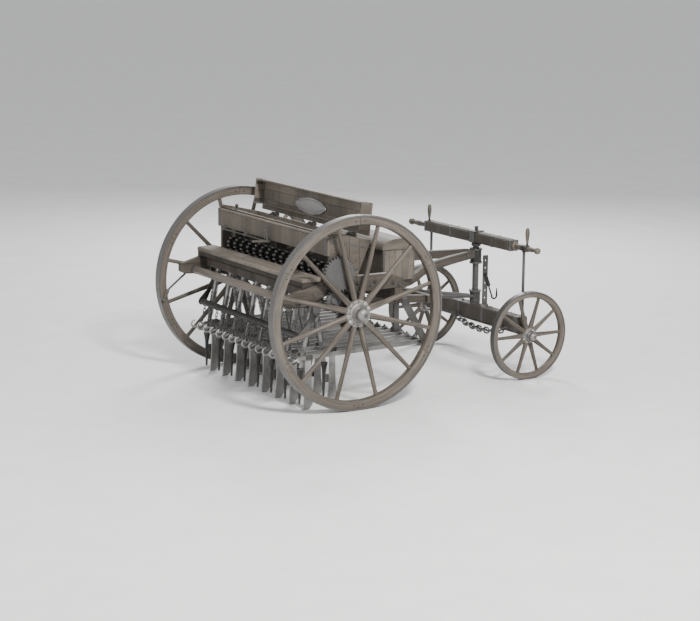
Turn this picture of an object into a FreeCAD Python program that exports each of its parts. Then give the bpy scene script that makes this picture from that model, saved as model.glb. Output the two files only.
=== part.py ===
import FreeCAD, Part
import math
import os
import re
from FreeCAD import Vector, Placement, Rotation

# Horse-drawn steerage seed drill ("corn planter").
# +X forward (direction of travel), +Y left, +Z up, millimetres.
# Origin: on the ground, half way between the back of the main wheels and the
# front of the fore wheels, on the centre plane.

doc = FreeCAD.newDocument("corn_planter")
sheet = doc.addObject("Spreadsheet::Sheet", "sizes")

DIMENSIONS = [
    ("wheel_radius", 700.0), ("wheel_plane", 886.0), ("tyre_width", 64.0), ("tyre_thick", 12.0),
    ("felloe_inner", 630.0), ("felloe_width", 56.0), ("axle_radius", 20.0), ("axle_length", 1950.0),
    ("fore_radius", 339.0), ("fore_plane", 707.0), ("fore_tyre_width", 50.0), ("fore_tyre_thick", 9.0),
    ("fore_felloe_inner", 292.0), ("fore_axle_radius", 15.0), ("wheelbase", 1645.0),
    ("running_gap", 0.06), ("gear_module", 8.0), ("gear_width", 24.0),
    ("box_half", 790.0), ("board", 25.0), ("sill_thick", 50.0), ("row_pitch", 102.0),
    ("lever_pivot_x", 660.0), ("lever_pivot_z", 400.0), ("hinge_bar_radius", 14.0),
    ("bar_thick", 12.0), ("bar_depth", 34.0), ("roller_radius", 30.0), ("roller_x", -440.0),
    ("roller_z", 795.0), ("barrel_x", -125.0), ("barrel_z", 981.7), ("barrel_shaft_radius", 13.0),
    ("idler_x", -173.2), ("idler_z", 800.0), ("lid_x", 150.0), ("lid_z", 1212.0), ("lid_half", 775.0),
    ("lid_length", 248.0), ("lid_lip", 80.0), ("lid_thick", 14.0), ("lift_x", -270.0), ("lift_z", 700.0),
    ("liftbar_x", -385.0), ("liftbar_z", 544.0), ("post_radius", 25.0), ("steer_bar_size", 85.0),
    ("steer_bar_left", 675.0), ("steer_bar_right", 500.0), ("steer_bar_z", 1000.0), ("handle_end", 862.0),
    ("toolbox_x0", 520.0), ("toolbox_x1", 800.0), ("toolbox_half", 400.0), ("toolbox_z0", 802.0),
    ("toolbox_z1", 1035.0), ("hake_x", 1740.0), ("hake_hole", 8.0),
]
for i, (alias, value) in enumerate(DIMENSIONS, 1):
    sheet.set("A%d" % i, alias)
    sheet.set("B%d" % i, str(value))
    sheet.setAlias("B%d" % i, alias)
doc.recompute()
D = {alias: float(sheet.get(alias)) for alias, _ in DIMENSIONS}

AX = -(D["wheelbase"] + D["fore_radius"] - D["wheel_radius"]) / 2.0   # main axle
FX = AX + D["wheelbase"]                                              # fore carriage
count = [0]
nodes = {}


def uid(tag):
    count[0] += 1
    return "%s_%d" % (tag, count[0])


def bind(obj, prop, value):
    # a text value is a formula on the sheet, a number is a plain size
    if isinstance(value, str):
        obj.setExpression(prop, re.sub(r"\b([a-z][a-z_0-9]*)\b", r"sizes.\1", value))
    else:
        setattr(obj, prop, float(value))


def facing(direction):
    return Rotation(Vector(0, 0, 1), Vector(*direction))


def box(size, corner, rot=None):
    o = doc.addObject("Part::Box", uid("Box"))
    for prop, v in zip(("Length", "Width", "Height"), size):
        bind(o, prop, v)
    o.Placement = Placement(Vector(*corner), rot or Rotation())
    return o


def cyl(r, length, base, direction=(0, 0, 1)):
    o = doc.addObject("Part::Cylinder", uid("Cylinder"))
    bind(o, "Radius", r)
    bind(o, "Height", length)
    o.Placement = Placement(Vector(*base), facing(direction))
    return o


def cone(r1, r2, length, base, direction=(0, 0, 1)):
    o = doc.addObject("Part::Cone", uid("Cone"))
    bind(o, "Radius1", r1)
    bind(o, "Radius2", r2)
    bind(o, "Height", length)
    o.Placement = Placement(Vector(*base), facing(direction))
    return o


def ring(r1, r2, centre, direction=(0, 0, 1)):
    o = doc.addObject("Part::Torus", uid("Torus"))
    bind(o, "Radius1", r1)
    bind(o, "Radius2", r2)
    o.Placement = Placement(Vector(*centre), facing(direction))
    return o


def ball(r, centre):
    o = doc.addObject("Part::Sphere", uid("Sphere"))
    bind(o, "Radius", r)
    o.Placement = Placement(Vector(*centre), Rotation())
    return o


def rod(a, b, r):
    a, b = Vector(*a), Vector(*b)
    d = b.sub(a)
    return cyl(r, d.Length, tuple(a), tuple(d))


def cut(base, *tools):
    for tool in tools:
        o = doc.addObject("Part::Cut", uid("Cut"))
        o.Base, o.Tool = base, tool
        base = o
    return base


def fuse(*parts):
    o = doc.addObject("Part::MultiFuse", uid("Fusion"))
    o.Shapes = list(parts)
    return o


def plane_of(body, role):
    for f in body.Origin.OriginFeatures:
        if f.Role == role:
            return f


def sketch_on(body, role):
    sk = body.newObject("Sketcher::SketchObject", uid("Sketch"))
    sk.AttachmentSupport = (plane_of(body, role), [""])
    sk.MapMode = "FlatFace"
    return sk


def polygon(sk, pts):
    n = len(pts)
    for i in range(n):
        a, b = pts[i], pts[(i + 1) % n]
        sk.addGeometry(Part.LineSegment(Vector(a[0], a[1], 0), Vector(b[0], b[1], 0)), False)


def plate_xz(pts, thick, y0):
    # outline in X and Z, thickness from y0 towards +Y
    b = doc.addObject("PartDesign::Body", uid("Body"))
    sk = sketch_on(b, "XZ_Plane")
    polygon(sk, pts)
    p = b.newObject("PartDesign::Pad", uid("Pad"))
    p.Profile = sk
    bind(p, "Length", thick)
    p.Reversed = True
    b.Placement = Placement(Vector(0, y0, 0), Rotation())
    return b


def lathe(profile, centre, direction):
    # profile of (radius, height) turned about the vertical, then laid along direction
    b = doc.addObject("PartDesign::Body", uid("Body"))
    sk = sketch_on(b, "XZ_Plane")
    polygon(sk, profile)
    r = b.newObject("PartDesign::Revolution", uid("Revolution"))
    r.Profile = sk
    r.ReferenceAxis = (sk, ["V_Axis"])
    r.Angle = 360.0
    b.Placement = Placement(Vector(*centre), facing(direction))
    return b


def loft(sections):
    # a tapered timber through rectangular sections: (x, y, z, width, depth)
    wires = []
    for x, y, z, w, d in sections:
        p = [Vector(x, y + s * w / 2.0, z + t * d / 2.0) for s, t in ((-1, -1), (1, -1), (1, 1), (-1, 1))]
        wires.append(Part.makePolygon(p + [p[0]]))
    o = doc.addObject("Part::Feature", uid("Timber"))
    o.Shape = Part.makeLoft(wires, True, True)
    return o


def gear(teeth, bore, width, centre, direction, phase=0.0):
    # spur gear with straight-flanked teeth of the sheet's module
    m = D["gear_module"]
    rp = m * teeth / 2.0
    pts = []
    for i in range(teeth):
        a = 2 * math.pi * (i + phase) / teeth
        q = 2 * math.pi / teeth
        for frac, r in ((-0.30, rp - 1.2 * m), (-0.21, rp - 0.1 * m), (-0.10, rp + 0.9 * m),
                        (0.10, rp + 0.9 * m), (0.21, rp - 0.1 * m), (0.30, rp - 1.2 * m)):
            pts.append((r * math.cos(a + frac * q), r * math.sin(a + frac * q)))
    b = doc.addObject("PartDesign::Body", uid("Body"))
    sk = sketch_on(b, "XY_Plane")
    polygon(sk, pts)
    sk.addGeometry(Part.Circle(Vector(0, 0, 0), Vector(0, 0, 1), bore), False)
    p = b.newObject("PartDesign::Pad", uid("Pad"))
    p.Profile = sk
    bind(p, "Length", width)
    b.Placement = Placement(Vector(*centre), facing(direction))
    return b


def node(name, *parts):
    # pieces of one kind gather under one name; each stays a solid of its own
    if name not in nodes:
        o = doc.addObject("Part::Compound", name)
        o.Label = name
        o.Placement = Placement()
        nodes[name] = o
    nodes[name].Links = list(nodes[name].Links) + list(parts)
    return nodes[name]


# ------------------------------------------------------------------ wheels
def wheel(tag, side, x, plane, radius, tyre_w, tyre_t, inner, fel_w, spokes, first, r_nave, r_bore,
          spoke_r0, spoke_r1, inboard, outboard, cap_r, outer):
    y = side * D[plane]
    z = D[radius]
    R = D[radius]
    d = (0, side, 0)
    rim = "_felloes" if "fore" in tag else "_tyre"
    node(tag + rim, cut(cyl(radius, tyre_w, (x, y - side * D[tyre_w] / 2, z), d),
                            cyl(radius + " - " + tyre_t, D[tyre_w] + 20, (x, y - side * (D[tyre_w] / 2 + 10), z), d)))
    ro, ri, hw = R - D[tyre_t], D[inner], fel_w / 2.0
    node(tag + "_felloes", lathe([(ri + 5, -hw), (ro, -hw), (ro, hw), (ri + 5, hw), (ri, hw - 8), (ri, -hw + 8)],
                                 (x, y, z), d))
    bore = r_bore + D["running_gap"]
    node(tag + "_nave", lathe([(bore, -inboard), (r_nave * 0.62, -inboard), (r_nave * 0.66, -inboard * 0.52),
                               (r_nave, -inboard * 0.42), (r_nave, inboard * 0.42), (r_nave * 0.72, inboard * 0.62),
                               (cap_r, inboard * 0.74), (cap_r, outboard * 0.82), (cap_r * 0.72, outboard),
                               (0, outboard), (0, outer), (bore, outer)], (x, y, z), d))
    rods = []
    for k in range(spokes):
        a = math.radians(first + 360.0 * k / spokes)
        u = (math.sin(a), 0, math.cos(a))
        b0 = (x + u[0] * (r_nave - 6), y, z + u[2] * (r_nave - 6))
        rods.append(cone(spoke_r0, spoke_r1, ri + 14 - (r_nave - 6), b0, u))
    node(tag + "_spokes", *rods)


for tag, side in (("left_wheel", 1), ("right_wheel", -1)):
    wheel(tag, side, AX, "wheel_plane", "wheel_radius", "tyre_width", "tyre_thick", "felloe_inner",
          D["felloe_width"], 12, 15.0, 92.0, D["axle_radius"], 22.0, 15.0, 66.0, 118.0, 50.0, 90.0)
for tag, side in (("left_fore_wheel", 1), ("right_fore_wheel", -1)):
    wheel(tag, side, FX, "fore_plane", "fore_radius", "fore_tyre_width", "fore_tyre_thick", "fore_felloe_inner",
          42.0, 10, 18.0, 56.0, D["fore_axle_radius"], 15.0, 11.0, 56.0, 88.0, 32.0, 66.0)

# ------------------------------------------------------------------ drive train
gy = -D["wheel_plane"] + 60.0          # right side, between end board and spokes
TEETH_DRIVE, TEETH_IDLER, TEETH_BARREL = 34, 16, 31
node("drive_gear", gear(TEETH_DRIVE, 61.0, "gear_width", (AX, gy, D["wheel_radius"]), (0, -1, 0), 0.0))
ix, iz = AX + D["idler_x"], D["idler_z"]
bx, bz = AX + D["barrel_x"], D["barrel_z"]


def mesh_phase(teeth_a, phase_a, ca, teeth_b, cb):
    # gears are drawn in a frame turned to face -Y: find where a tooth of one meets a gap of the other
    rot = facing((0, -1, 0)).inverted()
    v = rot.multVec(Vector(cb[0] - ca[0], 0, cb[1] - ca[1]))
    ang = math.atan2(v.y, v.x)
    ta = ang / (2 * math.pi) * teeth_a - phase_a
    fa = ta - math.floor(ta)
    tb = (ang + math.pi) / (2 * math.pi) * teeth_b
    # tooth offset of gear a at the line is fa past a tooth; gear b must be at half minus that
    return tb - (0.5 - fa)


ph_i = mesh_phase(TEETH_DRIVE, 0.0, (AX, D["wheel_radius"]), TEETH_IDLER, (ix, iz))
node("idler_gear", gear(TEETH_IDLER, 14.0 + D["running_gap"], "gear_width", (ix, gy, iz), (0, -1, 0), ph_i))
ph_b = mesh_phase(TEETH_IDLER, ph_i, (ix, iz), TEETH_BARREL, (bx, bz))
node("seed_barrel", gear(TEETH_BARREL, D["barrel_shaft_radius"], "gear_width", (bx, gy, bz), (0, -1, 0), ph_b))
node("seed_barrel", cyl("barrel_shaft_radius", 1634.0, (bx, 784.0, bz), (0, -1, 0)))

rows = [(k - 7) * D["row_pitch"] for k in range(15)]
disc = lathe([(D["barrel_shaft_radius"], -4), (50, -4), (50, 4), (D["barrel_shaft_radius"], 4)], (bx, 0, bz), (0, 1, 0))
cups = []
for k in range(10):
    a = math.radians(36.0 * k)
    cups.append(cyl(7.0, 30.0, (bx + 51 * math.sin(a), -15.0, bz + 51 * math.cos(a)), (0, 1, 0)))
disc_one = fuse(disc, *cups)
doc.recompute()
discs = doc.addObject("Part::Feature", "cup_discs_source")
discs.Shape = Part.makeCompound([disc_one.Shape.translated(Vector(0, y, 0)) for y in rows])
node("cup_discs", discs)

# ------------------------------------------------------------------ frame
sill = [(-557, 788), (-520, 768), (-400, 764), (-330, 790), (-200, 832), (430, 838.2), (430, 905), (300, 950),
        (-190, 950), (-245, 930), (-500, 858), (-557, 850)]
sill = [(AX + x, z) for x, z in sill]
sills = []
for s in (1, -1):
    y0 = 765.0 if s > 0 else -815.0
    body = plate_xz(sill, "sill_thick", y0)
    sills.append(cut(body,
                     cyl(12.0 + D["running_gap"], 80, (AX + D["roller_x"], y0 - 10, D["roller_z"]), (0, 1, 0))))
node("frame_timbers", *sills)
node("frame_timbers",
     box((70, 1630, 107), (AX + 360, -815, 730)),
     box((60, 1530, 60), (AX - 335, -765, 816)),
     box((60, 1530, 70), (AX + 130, -765, 838)))
node("main_axle", cyl("axle_radius", "axle_length", (AX, D["axle_length"] / 2, D["wheel_radius"]), (0, -1, 0)))

brackets = []
for s in (1, -1):
    y0 = 768.0 if s > 0 else -812.0
    hang = plate_xz([(AX - 60, 833), (AX - 36, 700), (AX - 24, 672), (AX + 24, 672), (AX + 36, 700), (AX + 60, 833)],
                    44.0, y0)
    brackets.append(cut(hang, cyl("axle_radius", 80, (AX, y0 - 10, D["wheel_radius"]), (0, 1, 0))))
node("axle_brackets", *brackets)
# gear bracket: carries the idler's stub and the barrel's end bearing on the right side
plate = plate_xz([(ix - 34, iz - 36), (ix + 34, iz - 36), (AX - 60, 846), (bx + 60, 962), (bx + 30, 1012),
                  (bx - 30, 1012), (bx - 52, 940), (ix - 40, 850)], 8.1, -823.2)
plate = cut(plate, cyl(13.0 + D["running_gap"], 40, (bx, -840, bz), (0, 1, 0)))
stub = cyl(14.0, 29.0, (ix, -823.2, iz), (0, -1, 0))
washer = cyl(24.0, 6.0, (ix, -852.2, iz), (0, -1, 0))
node("axle_brackets", fuse(plate, stub, washer))

# ------------------------------------------------------------------ seed box
ends = []
end_pts = [(AX - 190, 950), (AX - 190, 1276), (AX - 176, 1276), (AX + 150, 1200), (AX + 43, 950)]
for s in (1, -1):
    y0 = 790.0 if s > 0 else -815.0
    b = plate_xz(end_pts, "board", y0)
    ends.append(cut(b, cyl(13.0 + D["running_gap"], 60, (bx, y0 - 10, bz), (0, 1, 0))))
node("box_ends", *ends)
node("box_boards", box((20, 1640, 138), (AX - 210.4, -820, 1112)))
node("box_boards", plate_xz([(AX + 150, 1200), (AX + 43, 950), (AX + 21, 950), (AX + 128, 1200)], 1580.0, -790))
node("box_boards", plate_xz([(AX - 190, 1250), (AX - 190, 1262), (AX - 116, 1245), (AX - 116, 1233)], 1580.0, -790))
node("box_inner_boards", plate_xz([(AX + 92, 1118), (AX - 45, 1052), (AX - 45, 1068), (AX + 92, 1134)], 1580.0, -790),
     box((12, 1580, 100), (AX - 57, -790, 968)))
node("box_inner_boards", box((146, 1529, 14), (AX - 190, -764.5, 905)), box((14, 1529, 31), (AX - 58, -764.5, 919)))
parts_ = []
for y in (-364.0, -52.0, 260.0, 572.0):
    p = plate_xz([(AX - 190, 1050), (AX - 190, 1225), (AX - 150, 1180), (AX - 45, 1150), (AX - 45, 1070),
                  (AX - 60, 1070), (AX - 60, 1050)], 12.0, y - 6)
    parts_.append(p)
node("box_inner_boards", *parts_)
node("box_boards", box((150, 1600, 30), (AX - 400, -800, 935)),
     box((14, 1528, 34), (AX - 400, -764, 901)),
     *[plate_xz([(AX - 399, 888), (AX - 250, 929.5), (AX - 250, 935), (AX - 399, 935)], 35.0, 765.0 if s > 0 else -800.0)
       for s in (1, -1)])

# lid: shallow tray standing open on its hinges
lx, lz = AX + D["lid_x"], D["lid_z"]
lh, ll, lp, lt = D["lid_half"], D["lid_length"], D["lid_lip"], D["lid_thick"]
tray = fuse(box(("lid_thick", "2 * lid_half", "lid_length - 12"), (0, -lh, 12)),
            box(("lid_lip", 12, "lid_length - 50"), (-lp, -lh, 50)),
            box(("lid_lip", 12, "lid_length - 50"), (-lp, lh - 12, 50)),
            box(("lid_lip", "2 * lid_half - 90", 12), (-lp, -lh + 45, ll - 12)),
            box((12, "2 * lid_half", 12), (-12, -lh, ll - 12)),
            box((24, "2 * lid_half - 90", 10), (-24, -lh + 45, 50)))
knuckles = []
for y in (-560.0, 0.0, 560.0):
    k = cyl(10.0, 40.0, (0, y - 20, 0), (0, 1, 0))
    strap = box((5, 40, 110), (lt, y - 20, 2))
    foot = box((17, 40, 8), (2, y - 20, 2))
    knuckles.append(cut(fuse(k, strap, foot), cyl(5.0 + D["running_gap"], 60, (0, y - 30, 0), (0, 1, 0))))
tilt = Rotation(Vector(0, 1, 0), 6.5)
lid_raw = doc.addObject("Part::Compound", "lid_raw")
lid_raw.Links = [tray]
lid_raw.Placement = Placement(Vector(lx, 0, lz), tilt)
hinge_raw = doc.addObject("Part::Compound", "hinge_raw")
hinge_raw.Links = knuckles
hinge_raw.Placement = Placement(Vector(lx, 0, lz), tilt)
node("lid_tray", lid_raw)
node("lid_tray", hinge_raw)
plate_raw = doc.addObject("Part::Ellipsoid", "plate_source")
plate_raw.Radius1, plate_raw.Radius2, plate_raw.Radius3 = 62.0, 8.0, 240.0
plate_raw.Placement = Placement(Vector(0, 45, 124), Rotation())
plate_cut = doc.addObject("Part::Common", "plate_common")
plate_cut.Base, plate_cut.Tool = plate_raw, box((10, 560, 190), (-10, -235, 28))
plate_node = doc.addObject("Part::Compound", "plate_raw")
plate_node.Links = [plate_cut]
plate_node.Placement = Placement(Vector(lx, 0, lz), tilt)
node("lid_tray", plate_node)
fixed = []
for y in (-560.0, 0.0, 560.0):
    for s in (-1, 1):
        y0 = y + (20.5 if s > 0 else -50.5)
        arm = fuse(cyl(10.0, 30.0, (lx, y0, lz), (0, 1, 0)), box((28, 30, 10), (lx - 24, y0, 1200.2)))
        fixed.append(cut(arm, cyl(5.0, 60, (lx, y0 - 10, lz), (0, 1, 0))))
    fixed.append(cyl(5.0, 106.0, (lx, y - 53, lz), (0, 1, 0)))
node("iron_fittings", *fixed)

# delivery regulator: thin shaft under the rear board with a cranked hand grip
rx, rz = AX - 232.0, 1104.0
crank = fuse(cyl(6.0, 720.0, (rx, -20.0, rz), (0, 1, 0)),
             cyl(7.0, 112.0, (rx, 0.0, rz), (-0.15, 0, 1)),
             cyl(11.0, 120.0, (rx - 3, 0.0, rz), (-1, 0, 0.06)))
node("regulator_crank", crank)
eyes = []
for y in (30.0, 340.0, 680.0):
    eyes.append(cut(fuse(cyl(12.0, 16.0, (rx, y, rz), (0, 1, 0)), box((21.6, 16, 16), (rx, y, rz + 8))),
                    cyl(6.0 + D["running_gap"], 40, (rx, y - 10, rz), (0, 1, 0))))
node("iron_fittings", *eyes)
node("iron_fittings", fuse(cyl(12.0, 8.0, (AX - 150, 626, 1256)), cyl(6.0, 24.0, (AX - 150, 626, 1256)),
                          ball(14.0, (AX - 150, 626, 1286))))

# ------------------------------------------------------------------ seed tubes
tubes = []
for k, y in enumerate(rows):
    top = Vector(AX - 228, y + 19, 928)
    bot = Vector(AX - 352, y + 19, 330) if k % 2 == 0 else Vector(AX - 93, y + 19, 330)
    d = bot.sub(top)
    n = 4
    for i in range(n):
        a = top + d * (i / float(n)) + d * (0.004 if i else 0)
        tubes.append(cone(20.0 - 1.2 * i, 13.5 - 1.2 * i, d.Length / n - 3.0, tuple(a), tuple(d)))
node("seed_tubes", *tubes)

# ------------------------------------------------------------------ levers and coulters
px_, pz_ = AX + D["lever_pivot_x"], D["lever_pivot_z"]
node("lever_hinge_bar", cyl("hinge_bar_radius", 1560.0, (px_, 780, pz_), (0, -1, 0)))


def lever(rear):
    tail = AX - 400.0
    zt = 381.0
    dirx = Vector(tail - px_, 0, zt - pz_)
    ang = math.degrees(math.atan2(dirx.z, -dirx.x))
    bar = box((dirx.Length, "bar_thick", "bar_depth"), (px_, -19.0, pz_ - 17.0))
    bar.Placement = Placement(Vector(tail, -19.0, zt - 17.0), Rotation(Vector(0, 1, 0), ang))
    eye_loop = ring(22.0, 7.5, (tail - 24, -13.0, zt - 13.0), (0, 1, 0))
    curl = cut(ring(26.0, 8.0, (tail - 77, -13.0, zt + 6.0), (0, 1, 0)), box((40, 40, 20), (tail - 73, -33.0, zt + 9.0)))
    eye = cyl(25.0, 30.0, (px_, -28.0, pz_), (0, 1, 0))
    bore = cyl(D["hinge_bar_radius"] + D["running_gap"], 60, (px_, -43.0, pz_), (0, 1, 0))
    forging = cut(fuse(bar, eye_loop, curl, eye), bore)
    cx = AX + (-300.0 if rear else -40.0)
    zb = pz_ + (cx - px_) * (pz_ - zt) / (px_ - tail)
    blade = plate_xz([(cx - 24, zb + 17), (cx + 24, zb + 17), (cx + 30, 150), (cx + 44, 60), (cx + 30, 24),
                      (cx + 4, 0), (cx - 42, 0), (cx - 36, 60), (cx - 28, 150)], 12.0, -6.99)
    boot = fuse(cone(7.0, 15.0, 200.0, (cx - 59, 19.0, 40.0), (0.02, 0, 1)),
                cone(15.0, 26.0, 60.0, (cx - 55, 19.0, 239.0), (0.02, 0, 1)))
    hollow = cone(11.5, 23.0, 64.0, (cx - 55, 19.0, 239.0), (0.02, 0, 1))
    lug = box((32, 14, 60), (cx - 54, 5.01, 150))
    boot2 = cut(fuse(boot, lug), hollow)
    return forging, blade, boot2


rear_set = doc.addObject("Part::Compound", "rear_lever_source")
rear_set.Links = list(lever(True))
front_set = doc.addObject("Part::Compound", "front_lever_source")
front_set.Links = list(lever(False))
doc.recompute()
for k, y in enumerate(rows):
    f = doc.addObject("Part::Feature", "lever_%02d" % (k + 1))
    src = rear_set if k % 2 == 0 else front_set
    f.Shape = src.Shape.copy()
    f.Label = "lever_%02d" % (k + 1)
    f.Placement = Placement(Vector(0, y, 0), Rotation())
    nodes["lever_%02d" % (k + 1)] = f

# ------------------------------------------------------------------ windlass and lift bar
wx, wz = AX + D["roller_x"], D["roller_z"]
hand = Vector(-204, 0, -158)
hand.normalize()
g0 = Vector(wx, 832, wz) + hand * 14
node("windlass_roller", cyl("roller_radius", 1500.0, (wx, -750, wz), (0, 1, 0)),
     fuse(cyl(12.0, 68.0, (wx, -818.0, wz), (0, 1, 0)), cyl(20.0, 12.0, (wx, -830.0, wz), (0, 1, 0))),
     fuse(cyl(12.0, 72.0, (wx, 750.0, wz), (0, 1, 0)), cyl(24.0, 20.0, (wx, 822.0, wz), (0, 1, 0)),
          cyl(8.0, 250.0, tuple(g0), tuple(hand)), cyl(13.0, 100.0, tuple(g0 + hand * 225), (-0.45, 0, -0.9))))
teeth_pts = []
for k in range(16):
    a = 2 * math.pi * k / 16.0
    b = 2 * math.pi * (k + 0.85) / 16.0
    teeth_pts.append((46 * math.cos(a), 46 * math.sin(a)))
    teeth_pts.append((58 * math.cos(b), 58 * math.sin(b)))
rb = doc.addObject("PartDesign::Body", uid("Body"))
rs = sketch_on(rb, "XY_Plane")
polygon(rs, teeth_pts)
rs.addGeometry(Part.Circle(Vector(0, 0, 0), Vector(0, 0, 1), D["roller_radius"]), False)
rp_ = rb.newObject("PartDesign::Pad", uid("Pad"))
rp_.Profile = rs
rp_.Length = 16.0
rb.Placement = Placement(Vector(wx, -716, wz), facing((0, -1, 0)))
node("windlass_roller", rb)
pawl = cut(plate_xz([(wx + 96, wz + 38), (wx + 76, wz + 64), (wx + 16, wz + 62.5), (wx + 8, wz + 59.5),
                     (wx + 30, wz + 52.0), (wx + 70, wz + 36)], 14.0, -731.0),
           cyl(6.0 + D["running_gap"], 60, (wx + 82, -760, wz + 50), (0, 1, 0)))
node("ratchet_pawl", pawl)
node("iron_fittings", cyl(6.0, 50.0, (wx + 82, -764.9, wz + 50), (0, 1, 0)))

qx, qz = AX + D["lift_x"], D["lift_z"]
bxx, bzz = AX + D["liftbar_x"], D["liftbar_z"]
arms = []
arc = []
for s in (1, -1):
    y0 = 752.0 if s > 0 else -764.0
    a = plate_xz([(qx + 22, qz - 8), (qx + 10, qz + 20), (qx - 14, qz + 20), (qx - 40, qz - 8),
                  (qx - 70, qz - 70), (bxx - 20, bzz + 20), (bxx - 28, bzz - 4), (bxx - 16, bzz - 26),
                  (bxx + 14, bzz - 26), (bxx + 40, bzz + 6), (qx - 34, qz - 70), (qx + 6, qz - 30)], 12.0, y0)
    arms.append(cut(a, cyl(11.0 + D["running_gap"], 40, (qx, y0 - 10, qz), (0, 1, 0))))
node("lift_bar", fuse(cyl(24.0, 1504.0, (bxx, -752, bzz), (0, 1, 0)), *arms))
pins = []
for s in (1, -1):
    y0 = 768.5 if s > 0 else -780.5
    pl = plate_xz([(qx - 30, 794), (qx - 24, qz), (qx, qz - 24), (qx + 24, qz), (qx + 60, 823)], 12.0, y0)
    pins.append(fuse(pl, cyl(11.0, 17.0, (qx, s * 769.5, qz), (0, -s, 0))))
node("iron_fittings", *pins)

links = []
for y in rows:
    z = bzz - 42.4
    i = 0
    while z > 404.0:
        d = (0, 1, 0) if i % 2 else (1, 0, 0)
        links.append(ring(14.0, 3.4, (bxx - 0.3 * (bzz - 42.4 - z), y - 13.0, z), d))
        z -= 21.0
        i += 1
node("lift_chains", *links)

# ------------------------------------------------------------------ tool box
t0, t1, tw, tz0, tz1 = AX + D["toolbox_x0"], AX + D["toolbox_x1"], D["toolbox_half"], D["toolbox_z0"], D["toolbox_z1"]
node("toolbox_body", cut(box(("toolbox_x1 - toolbox_x0", "2 * toolbox_half", "toolbox_z1 - toolbox_z0"), (t0, -tw, tz0)),
                         box((t1 - t0 - 40, 2 * tw - 40, tz1 - tz0), (t0 + 20, -tw + 20, tz0 + 20))))
lidpts = []
half = (t1 - t0) / 2.0 + 12
for i in range(13):
    a = math.radians(180.0 * i / 12)
    lidpts.append(((t0 + t1) / 2 + half * math.cos(a), tz1 + 0.6 + 16 + 66 * math.sin(a)))
lidpts = [((t0 + t1) / 2 + half, tz1 + 0.6)] + lidpts + [((t0 + t1) / 2 - half, tz1 + 0.6)]
inner = []
hi = half - 32
for i in range(13):
    a = math.radians(180.0 * i / 12)
    inner.append(((t0 + t1) / 2 + hi * math.cos(a), tz1 + 16 + 48 * math.sin(a)))
inner = [((t0 + t1) / 2 + hi, tz1 - 10)] + inner + [((t0 + t1) / 2 - hi, tz1 - 10)]
node("toolbox_lid", cut(plate_xz(lidpts, 2 * tw + 24, -tw - 12), plate_xz(inner, 2 * tw - 16, -tw + 8)))
bx, bz = t0 - 18.2, tz1 + 1.0
for y in (-260.0, 260.0):
    node("toolbox_lid", cut(fuse(cyl(6.0, 40.0, (bx, y - 20, bz), (0, 1, 0)), box((3.9, 40, 26), (bx + 2.2, y - 20, bz))),
                            cyl(3.0 + D["running_gap"], 60, (bx, y - 30, bz), (0, 1, 0))))
    node("iron_fittings", fuse(cyl(6.0, 20.0, (bx, y + 20.5, bz), (0, 1, 0)), cyl(6.0, 20.0, (bx, y - 40.5, bz), (0, 1, 0)),
                              box((21.9, 20, 14), (bx - 3.8, y + 20.5, bz - 16)), box((21.9, 20, 14), (bx - 3.8, y - 40.5, bz - 16)),
                              cyl(3.0, 81.0, (bx, y - 40.5, bz), (0, 1, 0))))

# ------------------------------------------------------------------ swan neck, perch and post bearings
neck = []
for s in (1, -1):
    neck.append(loft([(AX + 430.2, s * 452, 766, 60, 70), (AX + 800, s * 322, 762, 58, 70),
                      (AX + 1000, s * 250, 838, 56, 68), (AX + 1300, s * 142, 862, 52, 64),
                      (AX + 1596, s * 34, 872, 46, 60)]))
node("swan_neck_arms", *neck)
pr = D["post_radius"]
node("post_bearings", cut(fuse(cyl(44.0, 96.0, (FX, 0, 800)), cyl(50.0, 14.0, (FX, 0, 896)), cyl(50.0, 14.0, (FX, 0, 790))),
                        cyl(pr + D["running_gap"], 200, (FX, 0, 760))))
node("perch_beams",
     loft([(AX + 350, 480, 696.5, 62, 66), (AX + 980, 260, 612, 54, 54)]),
     loft([(AX + 350, -480, 696.5, 62, 66), (AX + 980, -260, 612, 54, 54)]),
     box((46, 640, 58), (AX + 980, -320, 584)))
foot = cut(fuse(cyl(42.0, 84.0, (FX, 0, 480)), cyl(48.0, 14.0, (FX, 0, 564))), cyl(pr + D["running_gap"], 200, (FX, 0, 440)))
node("post_bearings", foot)
node("post_bearings", rod((AX + 1026, 190, 604), (FX - 38, 30, 532), 13.0), rod((AX + 1026, -190, 604), (FX - 38, -30, 532), 13.0))
hangers = []
for y in (344.0, -370.0):
    hangers.append(cut(box((44, 24, 244), (px_ - 22, y - 12, 376)), cyl("hinge_bar_radius", 60, (px_, y - 30, pz_), (0, 1, 0))))
for s in (1, -1):
    y0 = 756.0 if s > 0 else -768.0
    hangers.append(cut(plate_xz([(AX + 430.2, 800), (AX + 464, 800), (px_ + 26, pz_ + 20), (px_ + 26, pz_ - 24),
                                 (px_ - 20, pz_ - 24), (px_ - 26, pz_), (AX + 430.2, 740)], 8.9, y0),
                       cyl("hinge_bar_radius", 60, (px_, y0 - 20, pz_), (0, 1, 0))))
node("lever_hinge_bar", *hangers)

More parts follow.
